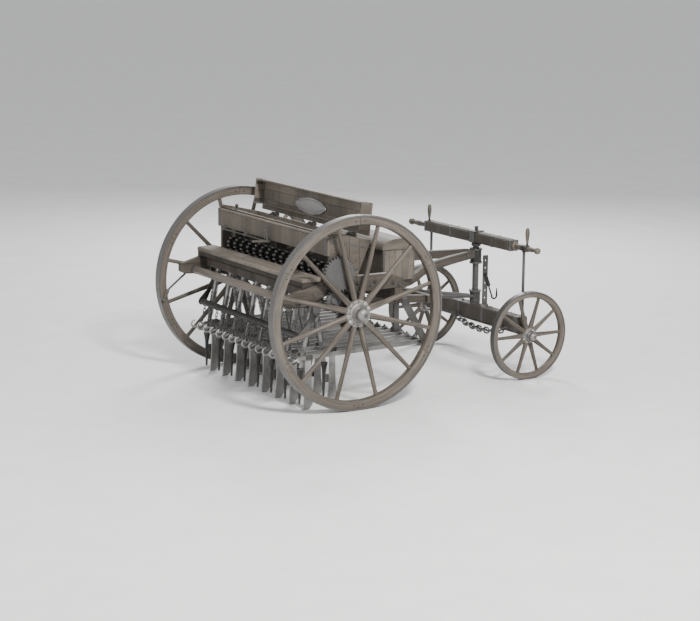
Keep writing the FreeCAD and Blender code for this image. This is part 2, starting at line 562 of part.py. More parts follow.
# ------------------------------------------------------------------ fore carriage
sz = D["steer_bar_z"]
node("fore_beam", box((96, 1270, 112), (FX - 48, -635, 354)))
node("fore_axle", cyl("fore_axle_radius", 1536.0, (FX, 768, D["fore_radius"]), (0, -1, 0)))
node("steer_rods", fuse(cyl("post_radius", 491.5, (FX, 0, 466)), cyl(40.0, 13.5, (FX, 0, 466))))
node("steer_bar", box(("steer_bar_size", "steer_bar_left + steer_bar_right", "steer_bar_size"),
                      (FX - D["steer_bar_size"] / 2, -D["steer_bar_right"], sz - D["steer_bar_size"] / 2)),
     fuse(cyl(32.0, 26.0, (FX, 675, sz), (0, 1, 0)), cone(17.0, 23.0, 104.0, (FX, 701, sz), (0, 1, 0)),
          cone(23.0, 15.0, 100.0, (FX, 805, sz), (0, 1, 0)), ball(27.0, (FX, 915, sz))),
     fuse(cyl(32.0, 30.0, (FX, -500, sz), (0, -1, 0)), cone(20.0, 26.0, 70.0, (FX, -530, sz), (0, -1, 0)),
          cyl(26.0, 80.0, (FX, -600, sz), (0, -1, 0)), cone(20.0, 15.0, 96.0, (FX, -680, sz), (0, -1, 0)),
          ball(25.0, (FX, -790, sz))))
node("steer_bar", box((97, 90, 8), (FX - 48.5, -45, sz + 42.5)),
     fuse(cyl(16.0, 16.0, (FX, 0, sz + 50.5)), ball(18.0, (FX, 0, sz + 68))),
     box((6, 64, 85), (FX - 48.5, -32, sz - 42.5)), box((6, 64, 85), (FX + 42.5, -32, sz - 42.5)))
posts = []
for s in (1, -1):
    x, y = FX, s * 626.0
    shaft = cyl(9.0, 491.5 if s > 0 else 507.9, (x, y, 466))
    posts.append(shaft)
node("steer_rods", *posts)
grips = []
for s in (1, -1):
    x, y = FX, 660.0 if s > 0 else -664.0
    grips.append(lathe([(0, 0), (13, 0), (9, 22), (13, 52), (17.5, 90), (15, 116), (9, 132), (0, 134)],
                       (x, y, sz + (42.6 if s > 0 else 26.1)), (0, 0, 1)))
node("steer_rods", *grips)
hx = AX + D["hake_x"]
hake = box((44, 12, 391), (hx - 22, -6, 454))
holes = [cyl("hake_hole", 40, (hx, -20, z), (0, 1, 0)) for z in (505, 565, 625, 685, 745, 805)]
node("draught_hake", cut(hake, *holes), box((hx + 22 - FX - 48, 44, 34), (FX + 48, -22, 420)),
     box((8, 120, 54), (FX + 48.1, -60, 364)))
pin_r = D["hake_hole"] - D["running_gap"]
pz = 685.0
ux, uz = 0.376, -0.9266


def along(d, w):
    # a point d down the shank and w to its front
    return (hx + ux * d - uz * w, pz + uz * d + ux * w)


straps = [plate_xz([along(-14, -6), along(-14, 6), along(-6, 12), along(84, 12), along(98, 8), along(98, -8),
                    along(84, -12), along(-6, -12)], 8.0, y0) for y0 in (6.5, -14.5)]
hook_ring = cut(ring(24.0, 7.0, (hx + 92, 0, 512), (0, 1, 0)), box((120, 60, 60), (hx + 40, -30, 512)))
node("draught_hook", fuse(
    cyl(pin_r, 34.0, (hx, -17, pz), (0, 1, 0)), *straps,
    plate_xz([along(86, 8), along(98, 8), along(98, -8), along(86, -8)], 29.0, -14.5),
    rod((hx + ux * 92, 0, pz + uz * 92), (hx + 68.2, 0, 513), 6.5), ball(8.6, (hx + 68, 0, 513)), hook_ring,
    cone(8.2, 4.5, 60.0, (hx + 116, 0, 510))))
cl = []
for i in range(12):
    t = i / 11.0
    y = 190.0 - 704.0 * t
    z = 296.0 + 54.0 * (2 * t - 1) ** 2
    d = (1, 0, 0) if i % 2 == 0 else (0, 0.25 * (1 - 2 * t), 1)
    cl.append(ring(40.0, 5.0, (FX - 68, y, z), d))
node("fore_chain", *cl)
for y, z in ((190.0, 378.0), (-514.0, 378.0)):
    node("draught_hake", lathe([(0, 0), (4.5, 0), (4.5, 27), (7, 30), (7, 36), (4, 39), (0, 39)], (FX - 48, y, z), (-1, 0, 0)))

# ------------------------------------------------------------------ fasteners
bolts = []
for s in (1, -1):
    for x, z in ((AX + 40, 900), (AX + 190, 900), (AX + 340, 880)):
        bolts.append(fuse(cyl(13.0, 8.0, (x, s * 815.1, z), (0, s, 0)), ball(7.0, (x, s * 823.0, z))))
    for x, z in ((AX - 150, 1240), (AX - 150, 1130), (AX + 30, 1060)):
        bolts.append(cyl(6.0, 5.0, (x, s * 815.1, z), (0, s, 0)))
node("iron_fittings", *bolts)

doc.recompute()

bad = [o.Name + str(o.State) for o in doc.Objects if "Invalid" in o.State or "Error" in o.State]
if bad:
    raise RuntimeError("failed objects: " + ", ".join(bad))
os.makedirs("parts", exist_ok=True)
for old in os.listdir("parts"):
    if old.endswith(".step"):
        os.remove(os.path.join("parts", old))
for name, o in nodes.items():
    s = o.Shape
    if s.isNull() or not s.isValid():
        raise RuntimeError("bad shape: " + name)
    s.exportStep("parts/%s.step" % name)
print(len(nodes), "nodes written")
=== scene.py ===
import math
import random
import bpy
import bmesh
from mathutils import Vector, Matrix, Quaternion


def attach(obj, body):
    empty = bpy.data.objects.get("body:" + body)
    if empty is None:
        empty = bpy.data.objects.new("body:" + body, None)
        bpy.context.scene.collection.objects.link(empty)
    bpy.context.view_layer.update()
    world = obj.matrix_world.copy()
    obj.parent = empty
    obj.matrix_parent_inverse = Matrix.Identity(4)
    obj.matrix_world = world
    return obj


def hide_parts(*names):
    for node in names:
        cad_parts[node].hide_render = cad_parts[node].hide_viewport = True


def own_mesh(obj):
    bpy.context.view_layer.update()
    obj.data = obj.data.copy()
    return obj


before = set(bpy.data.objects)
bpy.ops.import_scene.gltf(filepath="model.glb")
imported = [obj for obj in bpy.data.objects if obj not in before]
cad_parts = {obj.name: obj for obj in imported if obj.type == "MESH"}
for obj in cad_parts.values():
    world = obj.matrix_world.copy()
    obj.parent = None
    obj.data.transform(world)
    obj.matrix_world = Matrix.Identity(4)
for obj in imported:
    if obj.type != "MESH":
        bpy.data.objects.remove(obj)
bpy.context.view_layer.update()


random.seed(7)
AX = -0.642
FX = 1.003
ROWS = [(k - 7) * 0.102 for k in range(15)]


# ------------------------------------------------------------------ materials
def nodes_of(name):
    m = bpy.data.materials.new(name)
    m.use_nodes = True
    t = m.node_tree
    return m, t, t.nodes["Principled BSDF"]


def ramp(t, stops):
    r = t.nodes.new("ShaderNodeValToRGB")
    e = r.color_ramp.elements
    e[0].position, e[0].color = stops[0][0], (*stops[0][1], 1)
    e[1].position, e[1].color = stops[-1][0], (*stops[-1][1], 1)
    for p, c in stops[1:-1]:
        n = e.new(p)
        n.color = (*c, 1)
    return r


def noise(t, vec, scale, detail=6.0, rough=0.6, stretch=None, dist=0.0):
    n = t.nodes.new("ShaderNodeTexNoise")
    n.inputs["Scale"].default_value = scale
    n.inputs["Detail"].default_value = detail
    n.inputs["Roughness"].default_value = rough
    n.inputs["Distortion"].default_value = dist
    if stretch:
        mp = t.nodes.new("ShaderNodeMapping")
        mp.inputs["Scale"].default_value = stretch
        t.links.new(vec, mp.inputs["Vector"])
        vec = mp.outputs["Vector"]
    t.links.new(vec, n.inputs["Vector"])
    return n


def mix(t, a, b, fac, mode="MIX"):
    m = t.nodes.new("ShaderNodeMix")
    m.data_type = "RGBA"
    m.blend_type = mode
    if isinstance(fac, (int, float)):
        m.inputs[0].default_value = fac
    else:
        t.links.new(fac, m.inputs[0])
    for sock, v in ((m.inputs[6], a), (m.inputs[7], b)):
        if isinstance(v, tuple):
            sock.default_value = (*v, 1)
        else:
            t.links.new(v, sock)
    return m.outputs[2]


def val_ramp(t, src, lo, hi, out0=0.0, out1=1.0):
    m = t.nodes.new("ShaderNodeMapRange")
    m.inputs["From Min"].default_value = lo
    m.inputs["From Max"].default_value = hi
    m.inputs["To Min"].default_value = out0
    m.inputs["To Max"].default_value = out1
    t.links.new(src, m.inputs["Value"])
    return m.outputs["Result"]


def timber(name, dark, mid, light, rough=0.62, grain=1.0, worn=0.35):
    """Weathered timber: fibres run along the first texture coordinate of every piece."""
    m, t, p = nodes_of(name)
    tc = t.nodes.new("ShaderNodeTexCoord")
    uv = tc.outputs["UV"]
    fibre = noise(t, uv, 1.0, 8.0, 0.62, (4.0, 120.0 * grain, 1.0), 0.4)
    band = noise(t, uv, 1.0, 4.0, 0.5, (1.3, 26.0, 1.0), 1.2)
    tone = noise(t, uv, 1.0, 2.0, 0.5, (0.45, 2.2, 1.0))
    pores = noise(t, uv, 1.0, 2.0, 0.5, (26.0, 900.0, 1.0))
    grime = noise(t, tc.outputs["Object"], 5.5, 7.0, 0.66)
    c = ramp(t, [(0.28, dark), (0.5, mid), (0.72, light)])
    t.links.new(val_ramp(t, fibre.outputs["Fac"], 0.3, 0.7), c.inputs["Fac"])
    c2 = ramp(t, [(0.3, dark), (0.55, mid), (0.8, light)])
    t.links.new(val_ramp(t, band.outputs["Fac"], 0.3, 0.7), c2.inputs["Fac"])
    col = mix(t, c.outputs["Color"], c2.outputs["Color"], 0.45)
    shade = ramp(t, [(0.3, (0.62, 0.61, 0.60)), (0.7, (1.18, 1.16, 1.13))])
    t.links.new(tone.outputs["Fac"], shade.inputs["Fac"])
    col = mix(t, col, shade.outputs["Color"], 0.9, "MULTIPLY")
    pore = ramp(t, [(0.34, (0.35, 0.33, 0.31)), (0.42, (1, 1, 1))])
    t.links.new(pores.outputs["Fac"], pore.inputs["Fac"])
    col = mix(t, col, pore.outputs["Color"], 0.55, "MULTIPLY")
    dirt = val_ramp(t, grime.outputs["Fac"], 0.52, 0.74, 0.0, 0.75)
    col = mix(t, col, tuple(0.34 * v for v in dark), dirt)
    geo = t.nodes.new("ShaderNodeNewGeometry")
    edge = val_ramp(t, geo.outputs["Pointiness"], 0.505, 0.56, 0.0, worn)
    col = mix(t, col, tuple(min(1.0, 1.25 * v) for v in light), edge)
    t.links.new(col, p.inputs["Base Color"])
    r = val_ramp(t, fibre.outputs["Fac"], 0.2, 0.8, rough + 0.16, rough - 0.12)
    t.links.new(r, p.inputs["Roughness"])
    b = t.nodes.new("ShaderNodeBump")
    b.inputs["Strength"].default_value = 0.5
    b.inputs["Distance"].default_value = 0.0012
    t.links.new(fibre.outputs["Fac"], b.inputs["Height"])
    b2 = t.nodes.new("ShaderNodeBump")
    b2.inputs["Strength"].default_value = 0.35
    b2.inputs["Distance"].default_value = 0.0016
    t.links.new(band.outputs["Fac"], b2.inputs["Height"])
    t.links.new(b.outputs["Normal"], b2.inputs["Normal"])
    t.links.new(b2.outputs["Normal"], p.inputs["Normal"])
    p.inputs["Specular IOR Level"].default_value = 0.35
    return m


def iron(name, dark, light, rust, rough=0.5, metal=0.75, lump=0.4, bump=0.0008, worn=0.5, rusty=0.35):
    """Cast or forged iron: mottled skin, rust in random blotches, brighter rubbed edges."""
    m, t, p = nodes_of(name)
    tc = t.nodes.new("ShaderNodeTexCoord")
    ob = tc.outputs["Object"]
    skin = noise(t, ob, 42.0, 8.0, 0.62)
    fine = noise(t, ob, 260.0, 4.0, 0.6)
    blot = noise(t, ob, 7.0, 6.0, 0.6)
    c = ramp(t, [(0.3, dark), (0.72, light)])
    t.links.new(skin.outputs["Fac"], c.inputs["Fac"])
    rf = val_ramp(t, blot.outputs["Fac"], 0.5, 0.68, 0.0, rusty)
    col = mix(t, c.outputs["Color"], rust, rf)
    geo = t.nodes.new("ShaderNodeNewGeometry")
    edge = val_ramp(t, geo.outputs["Pointiness"], 0.51, 0.58, 0.0, worn)
    col = mix(t, col, tuple(min(1.0, 2.1 * v + 0.05) for v in light), edge)
    t.links.new(col, p.inputs["Base Color"])
    r = val_ramp(t, blot.outputs["Fac"], 0.3, 0.75, rough - 0.12, rough + 0.25)
    t.links.new(r, p.inputs["Roughness"])
    p.inputs["Metallic"].default_value = metal
    b = t.nodes.new("ShaderNodeBump")
    b.inputs["Strength"].default_value = lump
    b.inputs["Distance"].default_value = bump
    t.links.new(skin.outputs["Fac"], b.inputs["Height"])
    b2 = t.nodes.new("ShaderNodeBump")
    b2.inputs["Strength"].default_value = lump * 0.6
    b2.inputs["Distance"].default_value = bump * 0.35
    t.links.new(fine.outputs["Fac"], b2.inputs["Height"])
    t.links.new(b.outputs["Normal"], b2.inputs["Normal"])
    t.links.new(b2.outputs["Normal"], p.inputs["Normal"])
    return m


W_FRAME = timber("frame_timber_paint", (0.010, 0.0082, 0.0066), (0.034, 0.028, 0.0225), (0.092, 0.078, 0.064))
W_WHEEL = timber("wheel_timber_paint", (0.020, 0.0168, 0.0137), (0.064, 0.054, 0.0445), (0.155, 0.134, 0.112), 0.58, 1.3)
W_BOX = timber("box_timber_paint", (0.017, 0.014, 0.011), (0.056, 0.047, 0.0375), (0.138, 0.119, 0.097), 0.6)
# lighter timber for the lid, also laid on the tops of the rear board and ledge as a painted top highlight
W_LID_AND_TOP_LIGHT = timber("lid_timber_and_painted_top_highlight", (0.027, 0.0225, 0.0177), (0.080, 0.068, 0.055), (0.178, 0.155, 0.128), 0.6)
W_TOOL = timber("toolbox_timber_paint", (0.024, 0.020, 0.016), (0.075, 0.064, 0.052), (0.172, 0.151, 0.126), 0.6)
# near-black timber laid on inner and underside faces: painted shade
W_SHADE_TIMBER = timber("inner_timber_painted_shade", (0.010, 0.0085, 0.007), (0.024, 0.0205, 0.017), (0.050, 0.043, 0.036), 0.75)
W_ROLL = timber("roller_timber", (0.018, 0.015, 0.012), (0.057, 0.048, 0.0385), (0.138, 0.119, 0.099), 0.5, 1.0, 0.5)
I_CAST = iron("cast_iron_skin", (0.012, 0.0117, 0.0113), (0.050, 0.049, 0.0475), (0.044, 0.024, 0.014), 0.54, 0.45, 0.6, 0.0011)
I_FORGED = iron("wrought_iron_skin", (0.012, 0.0117, 0.0113), (0.052, 0.0505, 0.048), (0.044, 0.024, 0.014), 0.46, 0.5, 0.45)
# lighter copies of the forged iron for the levers and their tails: painted highlight on the bars
I_LEVER_HIGHLIGHT = iron("lever_iron_skin", (0.020, 0.0194, 0.0187), (0.098, 0.0955, 0.091), (0.060, 0.034, 0.020), 0.40, 0.6, 0.45, 0.0009, 0.8)
I_TAIL_HIGHLIGHT = iron("tail_iron_painted_highlight", (0.060, 0.058, 0.056), (0.200, 0.195, 0.187), (0.085, 0.052, 0.032), 0.36, 0.6, 0.4, 0.0007, 0.8, 0.25)
I_SHARE = iron("share_steel_skin", (0.050, 0.049, 0.047), (0.165, 0.161, 0.155), (0.085, 0.050, 0.030), 0.38, 0.65, 0.4, 0.0007, 1.0, 0.35)
I_NAVE = iron("nave_iron_skin", (0.085, 0.082, 0.078), (0.240, 0.234, 0.225), (0.110, 0.070, 0.044), 0.42, 0.6, 0.5, 0.0009, 0.6, 0.3)
I_TYRE = iron("tyre_iron_skin", (0.016, 0.015, 0.014), (0.066, 0.063, 0.059), (0.052, 0.030, 0.018), 0.46, 0.45, 0.4, 0.0008, 0.5, 0.4)
I_TIN = iron("tin_sheet", (0.090, 0.089, 0.086), (0.230, 0.227, 0.220), (0.100, 0.070, 0.047), 0.38, 0.8, 0.25, 0.0005, 0.4, 0.35)
I_BRIGHT = iron("worked_steel", (0.16, 0.157, 0.152), (0.38, 0.372, 0.36), (0.15, 0.10, 0.065), 0.32, 0.9, 0.25, 0.0004, 0.5, 0.2)


# ------------------------------------------------------------------ mesh building
class Build:
    def __init__(self, *mats):
        self.bm = bmesh.new()
        self.uv = self.bm.loops.layers.uv.new("UVMap")
        self.mats = list(mats)
        self.mat = 0

    def use(self, m):
        if m not in self.mats:
            self.mats.append(m)
        self.mat = self.mats.index(m)
        return self

    def add(self, verts, faces, uvs=None, smooth=False, grain=None):
        vs = [self.bm.verts.new(v) for v in verts]
        ou, ov = random.uniform(0, 40), random.uniform(0, 40)
        for f in faces:
            try:
                face = self.bm.faces.new([vs[i] for i in f])
            except ValueError:
                continue
            face.material_index = self.mat
            face.smooth = smooth
            for loop, i in zip(face.loops, f):
                if uvs is not None:
                    u, v = uvs[i]
                else:
                    co = Vector(verts[i])
                    g, a, b = grain
                    u, v = co.dot(g), co.dot(a) + co.dot(b)
                loop[self.uv].uv = (u + ou, v + ov)

    def frame(self, grain):
        g = Vector(grain).normalized()
        a = g.orthogonal().normalized()
        return g, a, g.cross(a)

    def box(self, lo, hi, c=0.003, grain=None, turn=None, about=None):
        lo, hi = Vector(lo), Vector(hi)
        size = hi - lo
        mid = (lo + hi) / 2
        h = size / 2
        c = min(c, min(h) * 0.45)
        if grain is None:
            k = max(range(3), key=lambda i: size[i])
            grain = [(1, 0, 0), (0, 1, 0), (0, 0, 1)][k]
        verts, idx = [], {}
        for sx in (-1, 1):
            for sy in (-1, 1):
                for sz in (-1, 1):
                    s = (sx, sy, sz)
                    for ax in range(3):
                        v = [s[i] * (h[i] - (0 if i == ax else c)) for i in range(3)]
                        idx[(s, ax)] = len(verts)
                        verts.append(mid + Vector(v))
        faces = []
        for ax in range(3):
            o = [i for i in range(3) if i != ax]
            for sg in (-1, 1):
                ring = []
                for p, q in ((-1, -1), (1, -1), (1, 1), (-1, 1)):
                    s = [0, 0, 0]
                    s[ax], s[o[0]], s[o[1]] = sg, p, q
                    ring.append(idx[(tuple(s), ax)])
                faces.append(ring)
        for ax in range(3):
            o = [i for i in range(3) if i != ax]
            for p in (-1, 1):
                for q in (-1, 1):
                    s1, s2 = [0, 0, 0], [0, 0, 0]
                    for s, sg in ((s1, -1), (s2, 1)):
                        s[ax], s[o[0]], s[o[1]] = sg, p, q
                    faces.append([idx[(tuple(s1), o[0])], idx[(tuple(s2), o[0])], idx[(tuple(s2), o[1])], idx[(tuple(s1), o[1])]])
        for s in [(a, b, d) for a in (-1, 1) for b in (-1, 1) for d in (-1, 1)]:
            faces.append([idx[(s, 0)], idx[(s, 1)], idx[(s, 2)]])
        fr = self.frame(grain)
        uvs = [(Vector(v).dot(fr[0]), Vector(v).dot(fr[1]) + Vector(v).dot(fr[2])) for v in verts]
        if turn is not None:
            piv = Vector(about) if about is not None else mid
            verts = [piv + turn @ (v - piv) for v in verts]
        self.add(verts, faces, uvs)

    def plate(self, pts, y0, y1, c=0.002, grain=(1, 0, 0)):
        """Outline in X and Z between two Y planes."""
        n = len(pts)
        area = sum(pts[i][0] * pts[(i + 1) % n][1] - pts[(i + 1) % n][0] * pts[i][1] for i in range(n))
        if area < 0:
            pts = pts[::-1]
        inset = []
        for i in range(n):
            p, q, r = Vector(pts[i - 1]), Vector(pts[i]), Vector(pts[(i + 1) % n])
            d1, d2 = (q - p).normalized(), (r - q).normalized()
            n1, n2 = Vector((-d1.y, d1.x)), Vector((-d2.y, d2.x))
            m = n1 + n2
            m = m / max(0.35, m.dot(n1)) if m.length > 1e-6 else n1
            inset.append(q + m * c)
        rings = [(y0, inset), (y0 + c, pts), (y1 - c, pts), (y1, inset)]
        verts = [Vector((p[0], y, p[1])) for y, ring in rings for p in ring]
        faces = [list(range(n))[::-1], list(range(3 * n, 4 * n))]
        for k in range(3):
            for i in range(n):
                j = (i + 1) % n
                faces.append([k * n + i, k * n + j, (k + 1) * n + j, (k + 1) * n + i])
        fr = self.frame(grain)
        uvs = [(v.dot(fr[0]), v.dot(fr[1]) + v.dot(fr[2])) for v in verts]
        self.add(verts, faces, uvs)

    def loft(self, sections, c=0.004):
        """Rectangular sections (x, y, z, width in Y, depth in Z) joined along a timber."""
        rings = []
        for x, y, z, w, d in sections:
            a, b = w / 2, d / 2
            rings.append([Vector((x, y + p, z + q)) for p, q in
                          ((-a + c, -b), (a - c, -b), (a, -b + c), (a, b - c), (a - c, b), (-a + c, b), (-a, b - c), (-a, -b + c))])
        verts = [v for r in rings for v in r]
        uvs, run = [], 0.0
        for k, r in enumerate(rings):
            if k:
                run += (rings[k][0] - rings[k - 1][0]).length
            per = 0.0
            for i, v in enumerate(r):
                if i:
                    per += (r[i] - r[i - 1]).length
                uvs.append((run, per))
        faces = [list(range(8))[::-1], [8 * (len(rings) - 1) + i for i in range(8)]]
        for k in range(len(rings) - 1):
            for i in range(8):
                j = (i + 1) % 8
                faces.append([8 * k + i, 8 * k + j, 8 * k + 8 + j, 8 * k + 8 + i])
        self.add(verts, faces, uvs)

    def tube(self, path, radius, seg=16, closed=False, flat=1.0, up=None, caps=True, smooth=True):
        pts = [Vector(p) for p in path]
        n = len(pts)
        rad = radius if isinstance(radius, (list, tuple)) else [radius] * n
        tang = []
        for i in range(n):
            if closed:
                d = pts[(i + 1) % n] - pts[i - 1]
            else:
                d = pts[min(i + 1, n - 1)] - pts[max(i - 1, 0)]
            tang.append(d.normalized())
        nrm = Vector(up) if up is not None else tang[0].orthogonal()
        nrm = (nrm - tang[0] * nrm.dot(tang[0])).normalized()
        verts, uvs, run = [], [], 0.0
        for i in range(n):
            if i:
                run += (pts[i] - pts[i - 1]).length
                nrm = (nrm - tang[i] * nrm.dot(tang[i])).normalized()
            bi = tang[i].cross(nrm)
            for k in range(seg):
                a = 2 * math.pi * k / seg
                verts.append(pts[i] + nrm * (rad[i] * math.cos(a)) + bi * (rad[i] * flat * math.sin(a)))
                uvs.append((run, a * max(rad)))
        faces = []
        for i in range(n if closed else n - 1):
            j = (i + 1) % n
            for k in range(seg):
                l = (k + 1) % seg
                faces.append([i * seg + k, i * seg + l, j * seg + l, j * seg + k])
        if not closed and caps:
            faces.append(list(range(seg))[::-1])
            faces.append([(n - 1) * seg + k for k in range(seg)])
        self.add(verts, faces, uvs, smooth)

    def lathe(self, profile, centre, direction=(0, 0, 1), seg=32, smooth=True, phase=0.0):
        """Profile of (radius, height); closed on its axis where the radius is 0."""
        q = Vector((0, 0, 1)).rotation_difference(Vector(direction).normalized())
        c = Vector(centre)
        verts, uvs, rows, run = [], [], [], 0.0
        for i, (r, hgt) in enumerate(profile):
            if i:
                run += math.hypot(r - profile[i - 1][0], hgt - profile[i - 1][1])
            if r < 1e-7:
                rows.append([len(verts)])
                verts.append(c + q @ Vector((0, 0, hgt)))
                uvs.append((run, 0))
            else:
                rows.append(list(range(len(verts), len(verts) + seg)))
                for k in range(seg):
                    a = 2 * math.pi * (k + phase) / seg
                    verts.append(c + q @ Vector((r * math.cos(a), r * math.sin(a), hgt)))
                    uvs.append((run, a * 0.03))
        faces = []
        for a, b in zip(rows[:-1], rows[1:]):
            if len(a) == 1 and len(b) == 1:
                continue
            for k in range(seg):
                l = (k + 1) % seg
                if len(a) == 1:
                    faces.append([a[0], b[k], b[l]])
                elif len(b) == 1:
                    faces.append([a[k], a[l], b[0]])
                else:
                    faces.append([a[k], a[l], b[l], b[k]])
        self.add(verts, faces, uvs, smooth)

    def cyl(self, a, b, r, r2=None, seg=20, c=0.0015):
        a, b = Vector(a), Vector(b)
        r2 = r if r2 is None else r2
        L = (b - a).length
        c = min(c, L * 0.3, r * 0.4, r2 * 0.4)
        self.lathe([(0, 0), (r - c, 0), (r, c), (r2, L - c), (r2 - c, L), (0, L)], a, b - a, seg)

    def ball(self, c, r, squash=1.0, direction=(0, 0, 1), seg=20):
        pr = [(0, -r * squash)] + [(r * math.cos(t), r * squash * math.sin(t)) for t in
                                   [math.radians(d) for d in range(-75, 90, 15)]] + [(0, r * squash)]
        self.lathe(pr, c, direction, seg)

    def nut(self, p, n, r=0.009, h=0.008, stud=True, washer=True):
        p, n = Vector(p), Vector(n).normalized()
        if washer:
            self.lathe([(0, 0), (r * 1.45, 0), (r * 1.45, 0.002), (0, 0.002)], p, n, 18, False)
        self.lathe([(0, 0.0019), (r, 0.0019), (r * 1.08, 0.0032), (r * 1.08, h - 0.001), (r * 0.92, h + 0.001), (0, h + 0.001)],
                   p, n, 6, False, random.random())
        if stud:
            self.lathe([(0, h), (r * 0.5, h), (r * 0.5, h + 0.004), (r * 0.3, h + 0.0055), (0, h + 0.0055)], p, n, 12)

    def dome(self, p, n, r=0.006, h=0.6):
        self.lathe([(0, 0), (r, 0)] + [(r * math.cos(t), r * h * math.sin(t)) for t in
                                       (0.3, 0.65, 1.0, 1.3)] + [(0, r * h)], p, n, 12)

    def link(self, c, long, across, half_l, half_w, r, seg=8):
        """One chain link: a rounded oval in the plane of two directions."""
        c, u, w = Vector(c), Vector(long).normalized(), Vector(across)
        w = (w - u * w.dot(u)).normalized()
        pts = []
        for k in range(20):
            a = 2 * math.pi * k / 20
            ca, sa = math.cos(a), math.sin(a)
            e = 0.75
            pts.append(c + u * half_l * math.copysign(abs(ca) ** e, ca) + w * half_w * math.copysign(abs(sa) ** e, sa))
        self.tube(pts, r, seg, closed=True, up=u.cross(w))

    def chain(self, path, half_l=0.017, half_w=0.011, r=0.0031, across=(0, 1, 0)):
        pts = [Vector(p) for p in path]
        seglen = [(b - a).length for a, b in zip(pts[:-1], pts[1:])]
        total = sum(seglen)
        pitch = 2 * (half_l - r) * 0.97
        n = max(2, int(round(total / pitch)))
        for i in range(n):
            s = (i + 0.5) * total / n
            k = 0
            while k < len(seglen) - 1 and s > seglen[k]:
                s -= seglen[k]
                k += 1
            d = (pts[k + 1] - pts[k]).normalized()
            p = pts[k] + d * s
            w = Vector(across)
            w = (w - d * w.dot(d)).normalized()
            if i % 2:
                w = d.cross(w)
            self.link(p, d, w, half_l, half_w, r)

    def obj(self, name, body, replaces=()):
        bm = self.bm
        bmesh.ops.recalc_face_normals(bm, faces=bm.faces)
        for e in bm.edges:
            if len(e.link_faces) == 2 and e.calc_face_angle(0.0) > math.radians(34):
                e.smooth = False
        me = bpy.data.meshes.new(name)
        bm.to_mesh(me)
        bm.free()
        for m in self.mats:
            me.materials.append(m)
        o = bpy.data.objects.new(name, me)
        bpy.context.scene.collection.objects.link(o)
        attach(o, body)
        if replaces:
            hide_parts(*replaces)
        return o


def V(x, y, z):
    return Vector((x, y, z))


def arc(c, r, a0, a1, n, u, w):
    c, u, w = Vector(c), Vector(u), Vector(w)
    return [c + u * (r * math.cos(a0 + (a1 - a0) * i / n)) + w * (r * math.sin(a0 + (a1 - a0) * i / n)) for i in range(n + 1)]


# ------------------------------------------------------------------ wheels
def spokes(b, cx, cy, cz, count, first, r0, r1, prof):
    for k in range(count):
        a = math.radians(first + 360.0 * k / count)
        u = V(math.sin(a), 0, math.cos(a))
        pts = [V(cx, cy, cz) + u * (r0 + (r1 - r0) * f) for f, _ in prof]
        b.tube(pts, [r for _, r in prof], 16, up=(0, 1, 0), flat=1.0)


def felloes(b, cx, cy, cz, ri, ro, hw, pieces, phase):
    for k in range(pieces):
        a0 = 2 * math.pi * k / pieces + phase + 0.0016
        a1 = 2 * math.pi * (k + 1) / pieces + phase - 0.0016
        n = 22
        sect = [(ri + 0.007, -hw), (ro - 0.001, -hw), (ro, -hw + 0.001), (ro, hw - 0.001), (ro - 0.001, hw),
                (ri + 0.007, hw), (ri + 0.0015, hw - 0.007), (ri, hw - 0.011), (ri, -hw + 0.011), (ri + 0.0015, -hw + 0.007)]
        m = len(sect)
        verts, uvs = [], []
        for i in range(n + 1):
            a = a0 + (a1 - a0) * i / n
            per = 0
            for j, (r, y) in enumerate(sect):
                if j:
                    per += math.hypot(r - sect[j - 1][0], y - sect[j - 1][1])
                verts.append(V(cx + r * math.sin(a), cy + y, cz + r * math.cos(a)))
                uvs.append(((ri + ro) / 2 * a, per))
        faces = [list(range(m)), [n * m + j for j in range(m)]]
        for i in range(n):
            for j in range(m):
                l = (j + 1) % m
                faces.append([i * m + j, i * m + l, (i + 1) * m + l, (i + 1) * m + j])
        b.add(verts, faces, uvs)


def nave(b, cx, cy, cz, side, count, first, rn, inb, outb, capr, sock):
    d = V(0, side, 0)
    c = V(cx, cy, cz)
    b.use(I_NAVE)
    b.lathe([(0, -inb), (rn * 0.56, -inb), (rn * 0.60, -inb + 0.004), (rn * 0.60, -inb * 0.62), (rn * 0.66, -inb * 0.50),
             (rn * 0.80, -inb * 0.42), (rn * 0.80, inb * 0.42), (rn * 0.72, inb * 0.52), (rn * 0.64, inb * 0.62),
             (capr * 1.08, inb * 0.70), (capr * 1.08, inb * 0.80), (capr, inb * 0.84),
             (capr * 0.98, outb * 0.72), (capr * 0.9, outb * 0.84), (capr * 0.7, outb * 0.93), (capr * 0.4, outb * 0.98), (0, outb)],
            c, d, 48)
    for k in range(count):
        a = math.radians(first + 360.0 * k / count)
        u = V(math.sin(a), 0, math.cos(a))
        s = rn * 0.44
        b.lathe([(0, s), (sock * 0.80, s), (sock * 0.92, rn * 0.80), (sock, rn * 0.97), (sock, rn * 1.02), (sock * 0.9, rn * 1.05), (0, rn * 1.05)],
                c, u, 20)
    # washer on the cap and a small ball beside it
    b.use(I_CAST)
    b.lathe([(0, outb * 0.93), (capr * 0.34, outb * 0.93), (capr * 0.34, outb * 0.985), (0, outb * 1.0)], c, d, 24)
    b.use(I_BRIGHT)
    p = c + V(capr * 0.55, side * outb * 0.80, capr * -0.35)
    b.ball(p, capr * 0.26)


